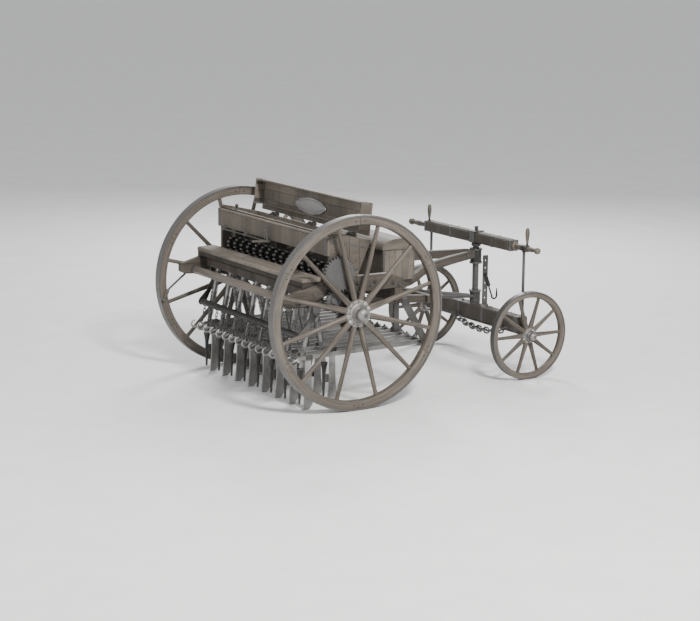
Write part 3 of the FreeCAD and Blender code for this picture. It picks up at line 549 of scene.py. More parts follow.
prof12 = [(0.0, 0.0205), (0.03, 0.0225), (0.08, 0.0228), (0.2, 0.0208), (0.4, 0.0182), (0.6, 0.0165), (0.8, 0.0155),
          (0.93, 0.0150), (0.965, 0.0158), (1.0, 0.0150)]
prof10 = [(f, r * 0.85) for f, r in prof12]
for tag, s in (("left", 1), ("right", -1)):
    w = tag + "_wheel"
    c = (AX, s * 0.886, 0.7)
    b = Build(W_WHEEL)
    spokes(b, *c, 12, 15.0, 0.088, 0.642, prof12)
    b.obj(w + "_spoke_set", w, [w + "_spokes"])
    b = Build(W_WHEEL)
    felloes(b, *c, 0.630, 0.6875, 0.028, 6, 0.0)
    b.use(I_FORGED)
    for k in range(6):
        a = math.radians(60.0 * k)
        for da in (-3.2, 3.2):
            q = a + math.radians(da)
            for sy in (-1, 1):
                b.dome(V(c[0] + 0.659 * math.sin(q), c[1] + sy * 0.0278, c[2] + 0.659 * math.cos(q)), (0, sy, 0), 0.007, 0.5)
    b.obj(w + "_felloe_set", w, [w + "_felloes"])
    b = Build(I_NAVE)
    nave(b, *c, s, 12, 15.0, 0.092, 0.066, 0.118, 0.050, 0.0265)
    b.obj(w + "_nave_casting", w, [w + "_nave"])
    w = tag + "_fore_wheel"
    c = (FX, s * 0.707, 0.339)
    b = Build(W_WHEEL)
    spokes(b, *c, 10, 18.0, 0.052, 0.300, prof10)
    b.obj(w + "_spoke_set", w, [w + "_spokes"])
    b = Build(W_WHEEL)
    felloes(b, *c, 0.292, 0.330, 0.021, 5, 0.0)
    b.use(I_TYRE)
    n = 120
    hw = 0.025
    sect = [(0.3302, -hw), (0.3385, -hw), (0.339, -hw + 0.0012), (0.339, hw - 0.0012), (0.3385, hw), (0.3302, hw)]
    verts = [V(c[0] + r * math.sin(2 * math.pi * i / n), c[1] + y, c[2] + r * math.cos(2 * math.pi * i / n)) for i in range(n) for r, y in sect]
    faces = [[i * 6 + j, i * 6 + (j + 1) % 6, ((i + 1) % n) * 6 + (j + 1) % 6, ((i + 1) % n) * 6 + j] for i in range(n) for j in range(6)]
    b.add(verts, faces, [(0, 0)] * len(verts))
    b.obj(w + "_rim_set", w, [w + "_felloes"])
    b = Build(I_NAVE)
    nave(b, *c, s, 10, 18.0, 0.056, 0.056, 0.088, 0.032, 0.0185)
    b.obj(w + "_nave_casting", w, [w + "_nave"])

# ------------------------------------------------------------------ plain materials on the CAD nodes
look = {}
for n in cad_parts:
    if n.endswith("_tyre"):
        look[n] = I_TYRE
    elif n in ("drive_gear", "idler_gear", "seed_barrel", "axle_brackets", "post_bearings"):
        look[n] = I_CAST
    # cup discs and levers get the lighter lever iron: painted highlight
    elif n in ("cup_discs",):
        look[n] = I_LEVER_HIGHLIGHT
    elif n.startswith("lever_") and n != "lever_hinge_bar":
        look[n] = I_LEVER_HIGHLIGHT
    # the box's inner boards get the near-black timber: painted shade inside the box
    elif n in ("box_inner_boards",):
        look[n] = W_SHADE_TIMBER
    else:
        look[n] = I_FORGED
for n, m in look.items():
    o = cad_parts[n]
    o.data.materials.clear()
    o.data.materials.append(m)
    if not o.hide_render:
        bev = o.modifiers.new("edge", "BEVEL")
        bev.width = 0.0012
        bev.segments = 1
        bev.limit_method = "ANGLE"
        bev.angle_limit = math.radians(40)

# ------------------------------------------------------------------ frame timbers
b = Build(W_FRAME)
sill = [(-0.557, 0.790), (-0.545, 0.778), (-0.520, 0.768), (-0.47, 0.7635), (-0.400, 0.764), (-0.365, 0.775), (-0.330, 0.790),
        (-0.26, 0.814), (-0.200, 0.832), (0.430, 0.838), (0.430, 0.905), (0.300, 0.950), (-0.190, 0.950), (-0.245, 0.930),
        (-0.500, 0.858), (-0.545, 0.852), (-0.557, 0.842)]
for y0, y1 in ((0.765, 0.815), (-0.815, -0.765)):
    b.plate([(AX + x, z) for x, z in sill], y0, y1, 0.0035)
b.box((AX + 0.360, -0.815, 0.730), (AX + 0.430, 0.815, 0.837), 0.004)
b.box((AX - 0.335, -0.765, 0.816), (AX - 0.275, 0.765, 0.876), 0.004)
b.box((AX + 0.130, -0.765, 0.838), (AX + 0.190, 0.765, 0.908), 0.004)
b.use(I_FORGED)
for s in (1, -1):
    for x, z in ((0.395, 0.86), (0.25, 0.9), (-0.31, 0.85), (0.16, 0.875)):
        b.nut((AX + x, s * 0.815, z), (0, s, 0), 0.011, 0.009)
b.obj("frame_timber_set", "chassis", ["frame_timbers"])

b = Build(W_FRAME)
for s in (1, -1):
    b.loft([(AX + 0.350, s * 0.480, 0.6965, 0.062, 0.066), (AX + 0.66, s * 0.3717, 0.655, 0.058, 0.06), (AX + 0.980, s * 0.260, 0.612, 0.054, 0.054)])
b.box((AX + 0.980, -0.320, 0.584), (AX + 1.026, 0.320, 0.642), 0.004)
b.use(I_FORGED)
for s in (1, -1):
    b.nut((AX + 0.70, s * 0.385, 0.647), (0, s, 0), 0.012)
    b.nut((AX + 1.026, s * 0.262, 0.613), (1, 0, 0), 0.011)
b.lathe([(0, 0), (0.03, 0), (0.032, 0.004), (0.03, 0.010), (0.016, 0.014), (0.014, 0.026), (0, 0.03)], V(AX + 1.026, 0, 0.613), (1, 0, 0), 28)
b.obj("perch_timber_set", "chassis", ["perch_beams"])

b = Build(W_FRAME)
for s in (1, -1):
    b.loft([(AX + 0.4302, s * 0.452, 0.766, 0.060, 0.070), (AX + 0.60, s * 0.392, 0.766, 0.059, 0.070), (AX + 0.73, s * 0.346, 0.766, 0.058, 0.069),
            (AX + 0.82, s * 0.314, 0.776, 0.057, 0.069), (AX + 0.90, s * 0.286, 0.800, 0.057, 0.068), (AX + 0.98, s * 0.257, 0.830, 0.056, 0.067),
            (AX + 1.08, s * 0.222, 0.848, 0.055, 0.066), (AX + 1.30, s * 0.142, 0.862, 0.052, 0.064), (AX + 1.596, s * 0.034, 0.872, 0.046, 0.060)], 0.005)
b.use(I_FORGED)
for s in (1, -1):
    b.nut((AX + 1.50, s * 0.069 + s * 0.0245, 0.869), (0.3, s, 0), 0.010)
    b.nut((AX + 0.47, s * 0.438, 0.801), (0, 0, 1), 0.010)
b.obj("swan_neck_set", "chassis", ["swan_neck_arms"])

# ------------------------------------------------------------------ seed box
b = Build(W_BOX)
ends = [(-0.190, 0.950), (-0.190, 1.276), (-0.176, 1.276), (0.150, 1.200), (0.043, 0.950)]
for s in (1, -1):
    y0, y1 = (0.790, 0.8145) if s > 0 else (-0.8145, -0.790)
    # upright boards side by side
    cuts = [-0.190, -0.108, -0.026, 0.056, 0.150]
    for a, e in zip(cuts[:-1], cuts[1:]):
        top = lambda x: 1.276 if x <= -0.176 else 1.276 - (x + 0.176) * (0.076 / 0.326)
        low = lambda x: 0.950 if x <= 0.043 else 0.950 + (x - 0.043) * (0.250 / 0.107)
        g = 0.0007
        pts = [(a + g, low(a)), (a + g, top(a)), (e - g, top(e)), (e - g, min(low(e), top(e) - 0.0005))]
        if a < 0.043 < e:
            pts = [(a + g, 0.950), (a + g, top(a)), (e - g, top(e)), (e - g, low(e)), (0.043, 0.950)]
        b.plate([(AX + x, z) for x, z in pts], y0, y1, 0.0012, grain=(0, 0, 1))
b.use(I_FORGED)
for s in (1, -1):
    yo = s * 0.8145
    # iron straps on the end boards
    for pts in ([(-0.186, 0.995), (-0.186, 1.012), (0.060, 1.012), (0.053, 0.995)],
                [(-0.186, 1.205), (-0.186, 1.220), (0.100, 1.160), (0.098, 1.146)]):
        b.plate([(AX + x, z) for x, z in pts], yo if s > 0 else yo - 0.003, yo + 0.003 if s > 0 else yo, 0.0008)
    for x, z in ((-0.17, 1.0035), (-0.09, 1.0035), (-0.01, 1.0035), (0.045, 1.0035), (-0.17, 1.209), (-0.07, 1.188), (0.08, 1.157)):
        b.dome((AX + x, yo + s * 0.003, z), (0, s, 0), 0.0055)
b.obj("box_end_set", "chassis", ["box_ends"])

b = Build(W_BOX)
b.box((AX - 0.2104, -0.820, 1.112), (AX - 0.1904, 0.820, 1.2345), 0.003)
# top cap of the rear board in the lighter lid timber: painted highlight on its top
b.use(W_LID_AND_TOP_LIGHT)
b.box((AX - 0.2104, -0.820, 1.2352), (AX - 0.1904, 0.820, 1.250), 0.004)
b.use(W_BOX)
b.plate([(AX + 0.150, 1.200), (AX + 0.043, 0.950), (AX + 0.021, 0.950), (AX + 0.128, 1.200)], -0.790, 0.790, 0.002, grain=(0, 1, 0))
b.plate([(AX - 0.190, 1.250), (AX - 0.190, 1.262), (AX - 0.116, 1.245), (AX - 0.116, 1.233)], -0.790, 0.790, 0.002, grain=(0, 1, 0))
# rear ledge: rounded top plank in the lighter lid timber as a painted top highlight, with a face board under it in
# near-black timber as painted shade
b.use(W_LID_AND_TOP_LIGHT)
prof = [(-0.400, 0.936), (-0.400, 0.951), (-0.396, 0.9595), (-0.388, 0.9643), (-0.375, 0.965), (-0.250, 0.965), (-0.250, 0.936)]
b.plate([(AX + x, z) for x, z in prof], -0.800, 0.800, 0.002, grain=(0, 1, 0))
b.use(W_SHADE_TIMBER)
b.box((AX - 0.397, -0.764, 0.901), (AX - 0.386, 0.764, 0.9355), 0.002)
# end pieces under the ledge, also in near-black timber: painted shade
for s in (1, -1):
    y0, y1 = (0.765, 0.799) if s > 0 else (-0.799, -0.765)
    b.plate([(AX - 0.396, 0.889), (AX - 0.250, 0.9295), (AX - 0.250, 0.9355), (AX - 0.396, 0.9355)], y0, y1, 0.001)
b.use(I_FORGED)
for y in (-0.79, -0.53, -0.265, 0.0, 0.265, 0.53, 0.79):
    for z in (1.135, 1.222):
        b.dome((AX - 0.2104, y, z), (-1, 0, 0), 0.0055)
    b.dome((AX - 0.330, y, 0.965), (0, 0, 1), 0.006)
    b.dome((AX - 0.275, y, 0.965), (0, 0, 1), 0.006)
for y in (-0.795, 0.795):
    b.box((AX - 0.2128, y - 0.018, 1.112), (AX - 0.2106, y + 0.018, 1.248), 0.0006)
b.obj("box_board_set", "chassis", ["box_boards"])

# lid: tray with boarded panel, lips and a plain plate
lx, lz, tilt = AX + 0.150, 1.212, math.radians(6.5)
T = Matrix.Translation((lx, 0, lz)) @ Matrix.Rotation(tilt, 4, "Y")
b = Build(W_LID_AND_TOP_LIGHT)


def lid_box(lo, hi, c=0.002, grain=None):
    n0 = len(b.bm.verts)
    b.box(lo, hi, c, grain)
    b.bm.verts.ensure_lookup_table()
    for v in b.bm.verts[n0:]:
        v.co = T @ v.co


ll, lh = 0.248, 0.775
for z0, z1 in ((0.012, 0.090), (0.0907, 0.169), (0.1697, ll)):
    lid_box((0, -lh, z0), (0.0138, lh, z1), 0.0016, (0, 1, 0))
lid_box((-0.080, -lh, 0.050), (-0.0002, -lh + 0.012, ll), 0.003, (0, 0, 1))
lid_box((-0.080, lh - 0.012, 0.050), (-0.0002, lh, ll), 0.003, (0, 0, 1))
lid_box((-0.080, -lh + 0.045, ll - 0.012), (-0.0002, lh - 0.045, ll - 0.0002), 0.003, (0, 1, 0))
lid_box((-0.012, -lh, ll - 0.0122), (-0.0002, lh, ll), 0.002, (0, 1, 0))
lid_box((-0.024, -lh + 0.045, 0.050), (-0.0002, lh - 0.045, 0.060), 0.002, (0, 1, 0))
b.use(I_FORGED)
for y in (-0.560, 0.0, 0.560):
    lid_box((0.014, y - 0.020, 0.002), (0.0185, y + 0.020, 0.112), 0.0012)
    lid_box((0.002, y - 0.020, 0.002), (0.0185, y + 0.020, 0.0095), 0.001)
    n0 = len(b.bm.verts)
    b.cyl((0, y - 0.020, 0), (0, y + 0.020, 0), 0.0098, seg=20)
    for z in (0.03, 0.065, 0.1):
        b.dome((0.0185, y, z), (1, 0, 0), 0.006)
    b.bm.verts.ensure_lookup_table()
    for v in b.bm.verts[n0:]:
        v.co = T @ v.co
# corner irons
for s in (1, -1):
    for z in (0.065, ll - 0.045):
        lid_box((-0.0835 + 0.004, s * (lh - 0.012) - s * 0.0022, z), (-0.02, s * (lh - 0.012), z + 0.03), 0.0006)
# plain plate with a raised border, shaped like a long cartouche
b.use(I_NAVE)


def cartouche(scale, n=120):
    pts = []
    for i in range(n):
        a = 2 * math.pi * i / n
        ca, sa = math.cos(a), math.sin(a)
        w = 0.200 * math.copysign(abs(ca) ** 0.8, ca)
        hgt = 0.054 * math.copysign(abs(sa) ** 0.8, sa)
        k = 1.0 + 0.055 * math.cos(4 * a) + 0.03 * math.cos(8 * a)
        pts.append((w * k * scale + 0.045, hgt * k * (scale + (scale - 1) * 0.9) + 0.124))
    return pts


def slab(pts, x0, x1):
    n = len(pts)
    cy = sum(p[0] for p in pts) / n
    cz = sum(p[1] for p in pts) / n
    vs = [V(x, p[0], p[1]) for x in (x0, x1) for p in pts] + [V(x1 - 0.002, cy, cz)]
    fs = [[i, (i + 1) % n, n + (i + 1) % n, n + i] for i in range(n)] + [list(range(n))]
    fs += [[n + i, n + (i + 1) % n, 2 * n] for i in range(n)]
    b.add([T @ v for v in vs], fs, [(0, 0)] * len(vs))


slab(cartouche(1.0), -0.0002, -0.004)
ring = [T @ V(-0.0052, y, z) for y, z in cartouche(1.02)]
b.tube(ring, 0.0038, 8, closed=True)
ring = [T @ V(-0.0050, y, z) for y, z in cartouche(0.86)]
b.tube(ring, 0.0018, 8, closed=True)
b.obj("lid_set", "lid", ["lid_tray"])

# ------------------------------------------------------------------ tool box
x0, x1, z0, z1 = AX + 0.520, AX + 0.800, 0.802, 1.035
b = Build(W_TOOL)
for s in (1, -1):
    yo, yi = s * 0.400, s * 0.380
    n = 5
    for k in range(n):
        a, e = x0 + (x1 - x0) * k / n + 0.0006, x0 + (x1 - x0) * (k + 1) / n - 0.0006
        b.box((a, min(yo, yi), z0), (e, max(yo, yi), z1), 0.0012, (0, 0, 1))
for xa, xb, f in ((x0 + 0.0007, x0 + 0.0195, -1), (x1 - 0.0195, x1 - 0.0007, 1)):
    b.use(W_TOOL)
    b.box((xa, -0.3795, z0), (xb, 0.3795, z1), 0.0015, (0, 1, 0))
    b.use(W_FRAME)
b.use(W_FRAME)
b.box((x0 + 0.0195, -0.3795, z0 + 0.0005), (x1 - 0.0195, 0.3795, z0 + 0.0195), 0.001)
b.use(I_FORGED)
for s in (1, -1):
    for x in (x0 + 0.02, x0 + 0.10, x0 + 0.18, x1 - 0.02):
        for z in (z0 + 0.02, z1 - 0.02):
            b.dome((x, s * 0.400, z), (0, s, 0), 0.0048)
    for xx in (x0 + 0.004, x1 - 0.004):
        b.box((xx - 0.004, s * 0.4002 - (0.0 if s > 0 else 0.0022), z0), (xx + 0.014 if xx < x0 + 0.1 else xx + 0.004, s * 0.4002 + (0.0022 if s > 0 else 0.0), z1), 0.0005)
b.obj("toolbox_board_set", "chassis", ["toolbox_body"])
b = Build(W_TOOL)
half = 0.152
cxm = (x0 + x1) / 2
for k in range(9):
    a0, a1 = math.radians(180.0 * k / 9) + 0.004, math.radians(180.0 * (k + 1) / 9) - 0.004
    outer = [(cxm + half * math.cos(a0 + (a1 - a0) * i / 3), z1 + 0.0166 + 0.066 * math.sin(a0 + (a1 - a0) * i / 3)) for i in range(4)]
    inner = [(cxm + (half - 0.018) * math.cos(a0 + (a1 - a0) * i / 3), z1 + 0.0166 + 0.050 * math.sin(a0 + (a1 - a0) * i / 3)) for i in range(3, -1, -1)]
    b.plate(outer + inner, -0.400, 0.400, 0.0008, grain=(0, 1, 0))
for s in (1, -1):
    pts = [(cxm + half - 0.0004, z1 + 0.0008)] + [(cxm + (half - 0.0004) * math.cos(math.radians(7.5 * i)), z1 + 0.0166 + 0.0658 * math.sin(math.radians(7.5 * i))) for i in range(25)] + [(cxm - half + 0.0004, z1 + 0.0008)]
    b.plate(pts, 0.4002 if s > 0 else -0.412, 0.412 if s > 0 else -0.4002, 0.003, grain=(1, 0, 0))
b.box((cxm - half, -0.400, z1 + 0.0008), (cxm - half + 0.018, 0.400, z1 + 0.0166), 0.001)
b.box((cxm + half - 0.018, -0.400, z1 + 0.0008), (cxm + half, 0.400, z1 + 0.0166), 0.001)
b.use(I_FORGED)
for y in (0.26, -0.26):
    b.box((x0 - 0.016, y - 0.018, z1 + 0.001), (x0 - 0.0121, y + 0.018, z1 + 0.027), 0.0008)
    b.cyl((x0 - 0.0182, y - 0.020, z1 + 0.001), (x0 - 0.0182, y + 0.020, z1 + 0.001), 0.006, seg=16)
b.obj("toolbox_lid_set", "toolbox_lid", ["toolbox_lid"])

# ------------------------------------------------------------------ seed tubes
for k, y in enumerate(ROWS):
    b = Build(I_TIN)
    top = V(AX - 0.228, y + 0.019, 0.926)
    bot = V(AX - 0.352, y + 0.019, 0.304) if k % 2 == 0 else V(AX - 0.093, y + 0.019, 0.304)
    d = (bot - top).normalized()
    L = (bot - top).length
    n = 4
    for i in range(n):
        a = L * i / n
        rt, rb = 0.0262 - 0.0024 * i, 0.0192 - 0.0022 * i
        e = L * (i + 1) / n + (0.022 if i < n - 1 else 0.0)
        b.lathe([(rt - 0.0016, a + 0.003), (rt - 0.0006, a), (rt + 0.0012, a + 0.0012), (rt + 0.0012, a + 0.004), (rt - 0.0004, a + 0.0052),
                 (rb, e), (rb - 0.001, e), (rt - 0.0016, a + 0.003)], top, d, 20)
    b.use(I_FORGED)
    for sx in (-1, 1):
        q = d.cross(V(0, 1, 0)) * (0.0285 * sx)
        b.chain([top + d * 0.012 + q, top + d * (L * 0.76) + q * 0.68], 0.0095, 0.0056, 0.0017, (0, 1, 0))
    o = b.obj("seed_tube_%02d" % (k + 1), "chassis", ["seed_tubes"])
    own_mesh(o)

# ------------------------------------------------------------------ chains
b = Build(I_FORGED)
for y in ROWS:
    yy = y - 0.013
    p0, p1 = V(AX - 0.385, yy, 0.521), V(AX - 0.4115, yy, 0.401)
    b.chain([p0 - V(0, 0, 0.002), p1], 0.0150, 0.0098, 0.0030)
    b.tube(arc(V(AX - 0.385, yy, 0.544), 0.0262, math.radians(200), math.radians(340), 12, (1, 0, 0), (0, 0, 1)), 0.0028, 8)
b.obj("lift_chain_set", "lift_bar", ["lift_chains"])

b = Build(I_FORGED)
pts = []
for i in range(23):
    t = i / 22.0
    pts.append(V(FX - 0.068, 0.190 - 0.704 * t, 0.300 + 0.050 * (2 * t - 1) ** 2 + 0.022 * abs(2 * t - 1) ** 6))
b.chain(pts, 0.0320, 0.0225, 0.0068, (1, 0, 0))
b.obj("fore_chain_set", "fore_carriage", ["fore_chain"])

# ------------------------------------------------------------------ fore carriage
b = Build(W_FRAME)
b.box((FX - 0.048, -0.635, 0.3545), (FX + 0.048, 0.635, 0.466), 0.008)
b.use(I_FORGED)
for s in (1, -1):
    b.box((FX - 0.0495, s * 0.60 - 0.02, 0.354), (FX + 0.0495, s * 0.60 + 0.02, 0.4675), 0.0012)
    for y in (0.16, 0.42):
        b.box((FX - 0.0492, s * y - 0.014, 0.3542), (FX + 0.0492, s * y + 0.014, 0.4668), 0.001)
        b.nut((FX, s * y, 0.4668), (0, 0, 1), 0.010, 0.008)
b.obj("fore_beam_set", "fore_carriage", ["fore_beam"])

b = Build(W_FRAME)
h = 0.0425
sz = 1.0
b.box((FX - h, -0.476, sz - h), (FX + h, 0.652, sz + h), 0.011)
b.use(I_FORGED)
for y in (-0.488, 0.6635):
    b.box((FX - h - 0.0004, y - 0.0115, sz - h), (FX + h + 0.0004, y + 0.0115, sz + h), 0.004)
for y in (0.30, -0.26):
    b.box((FX - h - 0.0012, y - 0.011, sz - h), (FX + h + 0.0012, y + 0.011, sz + h + 0.001), 0.0008)
b.box((FX - 0.0485, -0.045, sz + h), (FX + 0.0485, 0.045, sz + h + 0.008), 0.002)
for s in (1, -1):
    b.box((FX + s * 0.0455 - 0.003, -0.032, sz - h), (FX + s * 0.0455 + 0.003, 0.032, sz + h + 0.002), 0.001)
    b.nut((FX + s * 0.0440, 0.060, sz), (s, 0, 0), 0.008, 0.004, stud=False)
b.lathe([(0, 0), (0.016, 0), (0.016, 0.006), (0.012, 0.008), (0.0125, 0.018), (0.0175, 0.022), (0.0175, 0.029), (0.011, 0.0345), (0, 0.0355)],
        V(FX, 0, sz + h + 0.008), (0, 0, 1), 28)
# iron sleeve and its two lugs where the near rod comes through
b.lathe([(0.0165, 0.0), (0.0245, 0.0), (0.0258, 0.003), (0.0258, 0.022), (0.0235, 0.025), (0.0235, 0.055), (0.0258, 0.058), (0.0258, 0.077), (0.0245, 0.080), (0.0165, 0.080)],
        V(FX, -0.600, sz), (0, -1, 0), 32)
b.use(W_ROLL)
b.lathe([(0, 0), (0.030, 0), (0.0318, 0.003), (0.0318, 0.018), (0.028, 0.024), (0.019, 0.030), (0.0175, 0.045), (0.0195, 0.080), (0.0228, 0.118),
         (0.0228, 0.135), (0.0190, 0.175), (0.0155, 0.205), (0.0160, 0.212), (0.0205, 0.216), (0.0262, 0.228), (0.0268, 0.240), (0.0240, 0.254),
         (0.0150, 0.2625), (0, 0.2665)], V(FX, 0.675, sz), (0, 1, 0), 32)
b.lathe([(0, 0), (0.030, 0), (0.0318, 0.003), (0.0318, 0.022), (0.026, 0.029), (0.0205, 0.034), (0.0215, 0.055), (0.0245, 0.085), (0.0245, 0.100),
         (0.0165, 0.102), (0.0165, 0.178), (0.0195, 0.182), (0.0190, 0.205), (0.0160, 0.240), (0.0142, 0.262), (0.0190, 0.268), (0.0245, 0.280), (0.0248, 0.292),
         (0.0220, 0.304), (0.0130, 0.3125), (0, 0.3148)], V(FX, -0.500, sz), (0, -1, 0), 32)
b.obj("steer_bar_set", "fore_carriage", ["steer_bar"])

b = Build(I_FORGED)
b.cyl((FX, 0, 0.466), (FX, 0, 0.9575), 0.025, seg=32)
b.lathe([(0, 0), (0.04, 0), (0.04, 0.010), (0.034, 0.0134), (0, 0.0134)], V(FX, 0, 0.466), (0, 0, 1), 32)
b.lathe([(0.0252, 0), (0.036, 0), (0.038, 0.004), (0.038, 0.018), (0.034, 0.024), (0.0252, 0.024)], V(FX, 0, 0.928), (0, 0, 1), 32)
for s in (1, -1):
    y = s * 0.626
    top = 0.9574 if s > 0 else 0.9738
    b.cyl((FX, y, 0.466), (FX, y, top), 0.0112, seg=16)
    b.lathe([(0, 0), (0.022, 0), (0.022, 0.007), (0.013, 0.010), (0.012, 0.03), (0, 0.03)], V(FX, y, 0.466), (0, 0, 1), 20)
    b.lathe([(0, 0), (0.015, 0), (0.015, 0.008), (0, 0.008)], V(FX, y, top - 0.008), (0, 0, 1), 20)
    gy, gz = (0.660, 1.0427) if s > 0 else (-0.664, 1.0262)
    b.lathe([(0, 0), (0.0125, 0), (0.0125, 0.004), (0.0085, 0.007), (0.0080, 0.022), (0, 0.022)], V(FX, gy, gz), (0, 0, 1), 20)
    b.use(W_ROLL)
    b.lathe([(0, 0.021), (0.0092, 0.021), (0.0105, 0.028), (0.0130, 0.050), (0.0160, 0.075), (0.0172, 0.092), (0.0155, 0.112), (0.0105, 0.126),
             (0.0098, 0.129), (0.0100, 0.131), (0, 0.1336)], V(FX, gy, gz), (0, 0, 1), 24)
    b.use(I_FORGED)
b.obj("steer_rod_set", "fore_carriage", ["steer_rods"])

# ------------------------------------------------------------------ windlass
wx, wz = AX - 0.440, 0.795
b = Build(W_ROLL)
b.lathe([(0, 0), (0.029, 0), (0.030, 0.002), (0.030, 1.498), (0.029, 1.5), (0, 1.5)], V(wx, -0.750, wz), (0, 1, 0), 32)
b.use(I_FORGED)
for y in (-0.700, 0.735):
    b.lathe([(0.0301, 0), (0.033, 0), (0.033, 0.028), (0.0301, 0.028)], V(wx, y, wz), (0, 1, 0), 32)
b.cyl((wx, -0.830, wz), (wx, -0.750, wz), 0.012)
b.cyl((wx, -0.830, wz), (wx, -0.818, wz), 0.020)
b.cyl((wx, 0.750, wz), (wx, 0.842, wz), 0.012)
b.cyl((wx, 0.822, wz), (wx, 0.842, wz), 0.024)
# ratchet teeth
pts = []
for k in range(16):
    a, e = 2 * math.pi * k / 16, 2 * math.pi * (k + 0.85) / 16
    pts.append((wx + 0.046 * math.cos(a), wz + 0.046 * math.sin(a)))
    pts.append((wx + 0.058 * math.cos(e), wz + 0.058 * math.sin(e)))
b.plate(pts, -0.732, -0.716, 0.001)
hand = V(-0.204, 0, -0.158).normalized()
g0 = V(wx, 0.832, wz)
pth = [g0 + hand * 0.014, g0 + hand * 0.10, g0 + hand * 0.20, g0 + hand * 0.235, g0 + hand * 0.25 + V(-0.004, 0, -0.012)]
b.tube(pth, [0.0082, 0.008, 0.0078, 0.0078, 0.0078], 16)
g1 = g0 + hand * 0.239
gd = V(-0.45, 0, -0.9).normalized()
b.use(W_ROLL)
b.lathe([(0, 0), (0.009, 0), (0.0115, 0.008), (0.0128, 0.03), (0.0125, 0.06), (0.0105, 0.078), (0.0095, 0.083), (0.0115, 0.088), (0.0120, 0.094), (0.008, 0.0995), (0, 0.1)],
        g1, gd, 20)
b.obj("windlass_set", "windlass", ["windlass_roller"])

# ------------------------------------------------------------------ regulator crank
rx, rz = AX - 0.232, 1.104
b = Build(I_FORGED)
b.tube([V(rx, y / 1000.0, rz) for y in (-20, 200, 450, 700)], 0.0058, 14)
b.lathe([(0, -0.012), (0.0105, -0.012), (0.0105, 0.012), (0, 0.012)], V(rx, 0, rz), (0, 1, 0), 20)
b.tube([V(rx, 0, rz), V(rx - 0.006, 0, rz + 0.05), V(rx - 0.0160, 0, rz + 0.108)], [0.0068, 0.0066, 0.0062], 14)
b.ball(V(rx - 0.0160, 0, rz + 0.106), 0.0085)
b.use(W_ROLL)
b.lathe([(0, 0.006), (0.007, 0.006), (0.0085, 0.012), (0.0108, 0.035), (0.0108, 0.07), (0.0085, 0.1), (0.0075, 0.106), (0.0095, 0.111), (0.0085, 0.118), (0, 0.1195)],
        V(rx - 0.003, 0, rz), (-1, 0, 0.06), 20)
b.obj("regulator_set", "regulator", ["regulator_crank"])

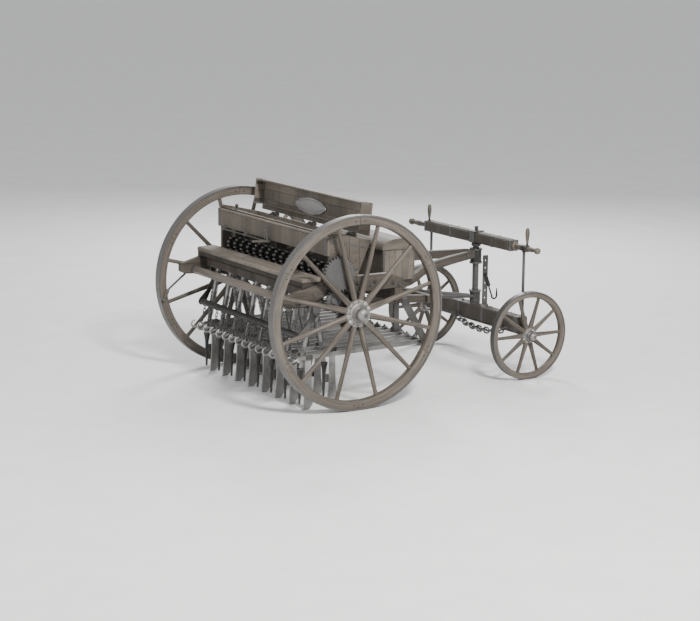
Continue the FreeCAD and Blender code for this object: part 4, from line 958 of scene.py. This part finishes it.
# ------------------------------------------------------------------ levers, coulters and boots
for k, y in enumerate(ROWS):
    name = "lever_%02d" % (k + 1)
    yc = y - 0.013
    b = Build(I_LEVER_HIGHLIGHT)
    # flat bar, thinner towards the tail, in the lighter lever iron: painted highlight
    b.plate([(AX + 0.641, 0.4155), (AX + 0.641, 0.3835), (AX - 0.380, 0.3665), (AX - 0.4005, 0.3680), (AX - 0.4005, 0.3940), (AX - 0.380, 0.3965)],
            yc - 0.006, yc + 0.006, 0.0018)
    # eye on the hinge bar
    q = [(0.0245, -0.015), (0.0250, -0.0135), (0.0250, 0.0135), (0.0245, 0.015), (0.0150, 0.015), (0.0142, 0.0140), (0.0142, -0.0140), (0.0150, -0.015), (0.0245, -0.015)]
    b.lathe(q, V(AX + 0.66, yc, 0.4), (0, 1, 0), 28)
    # chain loop and the curled tail
    b.use(I_FORGED)
    b.tube(arc(V(AX - 0.424, yc, 0.368), 0.0215, 0, 2 * math.pi * 23 / 24, 23, (1, 0, 0), (0, 0, 1)), 0.0058, 10, closed=True, up=(0, 1, 0))
    # the curled tail in a much lighter iron: painted highlight
    b.use(I_TAIL_HIGHLIGHT)
    c = V(AX - 0.477, yc, 0.387)
    curl = [V(AX - 0.396, yc, 0.3745), V(AX - 0.420, yc, 0.3640), V(AX - 0.446, yc, 0.3560)] + \
        arc(c, 0.026, math.radians(285), math.radians(95), 16, (1, 0, 0), (0, 0, 1))
    n = len(curl)
    b.tube(curl, [0.0088 - 0.0034 * (i / (n - 1.0)) ** 1.5 for i in range(n)], 12, up=(0, 1, 0), flat=1.0)
    b.ball(curl[-1], 0.0068)
    cx = AX + (-0.300 if k % 2 == 0 else -0.040)
    zb = 0.400 - 0.019 * (AX + 0.66 - cx) / 1.06
    # share: plate with a ground front edge and a worn foot
    b.use(I_SHARE)
    out = [(cx - 0.024, zb + 0.0165), (cx + 0.024, zb + 0.0165), (cx + 0.0265, 0.300), (cx + 0.030, 0.150), (cx + 0.0375, 0.100), (cx + 0.0438, 0.060),
           (cx + 0.040, 0.040), (cx + 0.030, 0.024), (cx + 0.018, 0.010), (cx + 0.004, 0.0003), (cx - 0.020, 0.0003), (cx - 0.0415, 0.0003),
           (cx - 0.040, 0.030), (cx - 0.036, 0.060), (cx - 0.031, 0.110), (cx - 0.028, 0.150), (cx - 0.0255, 0.280)]
    b.plate(out, y - 0.0068, y + 0.0048, 0.0036, grain=(0, 0, 1))
    b.use(I_FORGED)
    b.box((cx - 0.026, y - 0.0232, zb - 0.021), (cx + 0.026, y - 0.0192, zb + 0.021), 0.001)
    for dx in (-0.015, 0.015):
        b.nut((cx + dx, y - 0.0232, zb), (0, -1, 0), 0.007, 0.006)
    b.box((cx - 0.026, y - 0.0232, zb + 0.0178), (cx + 0.026, y + 0.0048, zb + 0.0212), 0.001)
    b.nut((AX + 0.66, yc, 0.4248), (0, 0, 1), 0.007, 0.008)
    # boot: cup, neck and spout, with the lug that holds it to the share
    b.use(I_CAST)
    d = V(0.02, 0, 1).normalized()
    b.lathe([(0.0058, 0), (0.0070, 0), (0.0080, 0.010), (0.0106, 0.090), (0.0140, 0.180), (0.0150, 0.1985), (0.0172, 0.206), (0.0205, 0.226),
             (0.0245, 0.248), (0.0262, 0.2525), (0.0262, 0.2590), (0.0250, 0.2600), (0.0228, 0.2595), (0.0112, 0.2005), (0.0050, 0.19), (0.0050, 0.004), (0.0058, 0)],
            V(cx - 0.059, y + 0.019, 0.040), d, 24)
    b.box((cx - 0.054, y + 0.0052, 0.150), (cx - 0.022, y + 0.0188, 0.210), 0.002)
    b.dome((cx - 0.030, y + 0.0188, 0.195), (0, 1, 0), 0.005)
    b.dome((cx - 0.030, y + 0.0188, 0.165), (0, 1, 0), 0.005)
    b.obj(name + "_set", name, [name])

# ------------------------------------------------------------------ stage, light, camera
fm, t, p = nodes_of("floor_plain")
tc = t.nodes.new("ShaderNodeTexCoord")
fn = noise(t, tc.outputs["Object"], 3.0, 5.0, 0.6)
fr = ramp(t, [(0.3, (0.80, 0.80, 0.795)), (0.7, (0.86, 0.86, 0.855))])
t.links.new(fn.outputs["Fac"], fr.inputs["Fac"])
t.links.new(fr.outputs["Color"], p.inputs["Base Color"])
p.inputs["Roughness"].default_value = 0.9
me = bpy.data.meshes.new("floor")
R = 500.0
me.from_pydata([(-R, -R, -0.0005), (R, -R, -0.0005), (R, R, -0.0005), (-R, R, -0.0005)], [], [(0, 1, 2, 3)])
me.materials.append(fm)
floor = bpy.data.objects.new("floor", me)
bpy.context.scene.collection.objects.link(floor)

world = bpy.data.worlds.new("studio")
bpy.context.scene.world = world
world.use_nodes = True
bg = world.node_tree.nodes["Background"]
bg.inputs["Color"].default_value = (0.93, 0.94, 0.96, 1)
bg.inputs["Strength"].default_value = 0.55


def area(name, loc, target, size, power, color=(1, 1, 1)):
    l = bpy.data.lights.new(name, "AREA")
    l.shape = "DISK"
    l.size = size
    l.energy = power
    l.color = color
    o = bpy.data.objects.new(name, l)
    o.location = loc
    o.rotation_euler = (Vector(target) - Vector(loc)).to_track_quat("-Z", "Y").to_euler()
    bpy.context.scene.collection.objects.link(o)
    return o


area("key", (-1.5, -7.5, 7.0), (0.1, 0, 0.6), 1.6, 950, (1, 0.985, 0.96))
area("fill", (-7.5, -1.0, 3.0), (0, 0, 0.6), 4.0, 120)
area("rim", (4.0, 6.0, 5.5), (0, 0, 0.8), 2.5, 420)

cam = bpy.data.cameras.new("camera")
cam.sensor_width = 36.0
cam.lens = 36.0 * 1891.417 / 700.0
cam.clip_end = 200.0
co = bpy.data.objects.new("camera", cam)
yaw, pitch, roll = 0.5534, 0.1957, 0.0101
d = V(math.sin(yaw) * math.cos(pitch), math.cos(yaw) * math.cos(pitch), -math.sin(pitch))
r = d.cross(V(0, 0, 1)).normalized()
u = r.cross(d)
r2 = r * math.cos(roll) + u * math.sin(roll)
u2 = u * math.cos(roll) - r * math.sin(roll)
M = Matrix((r2, u2, -d)).transposed().to_4x4()
M.translation = V(-6.9147 + AX, -11.9795, 3.3102)
co.matrix_world = M
bpy.context.scene.collection.objects.link(co)
bpy.context.scene.camera = co
bpy.context.scene.view_settings.view_transform = "AgX"
bpy.context.scene.view_settings.exposure = 0.35
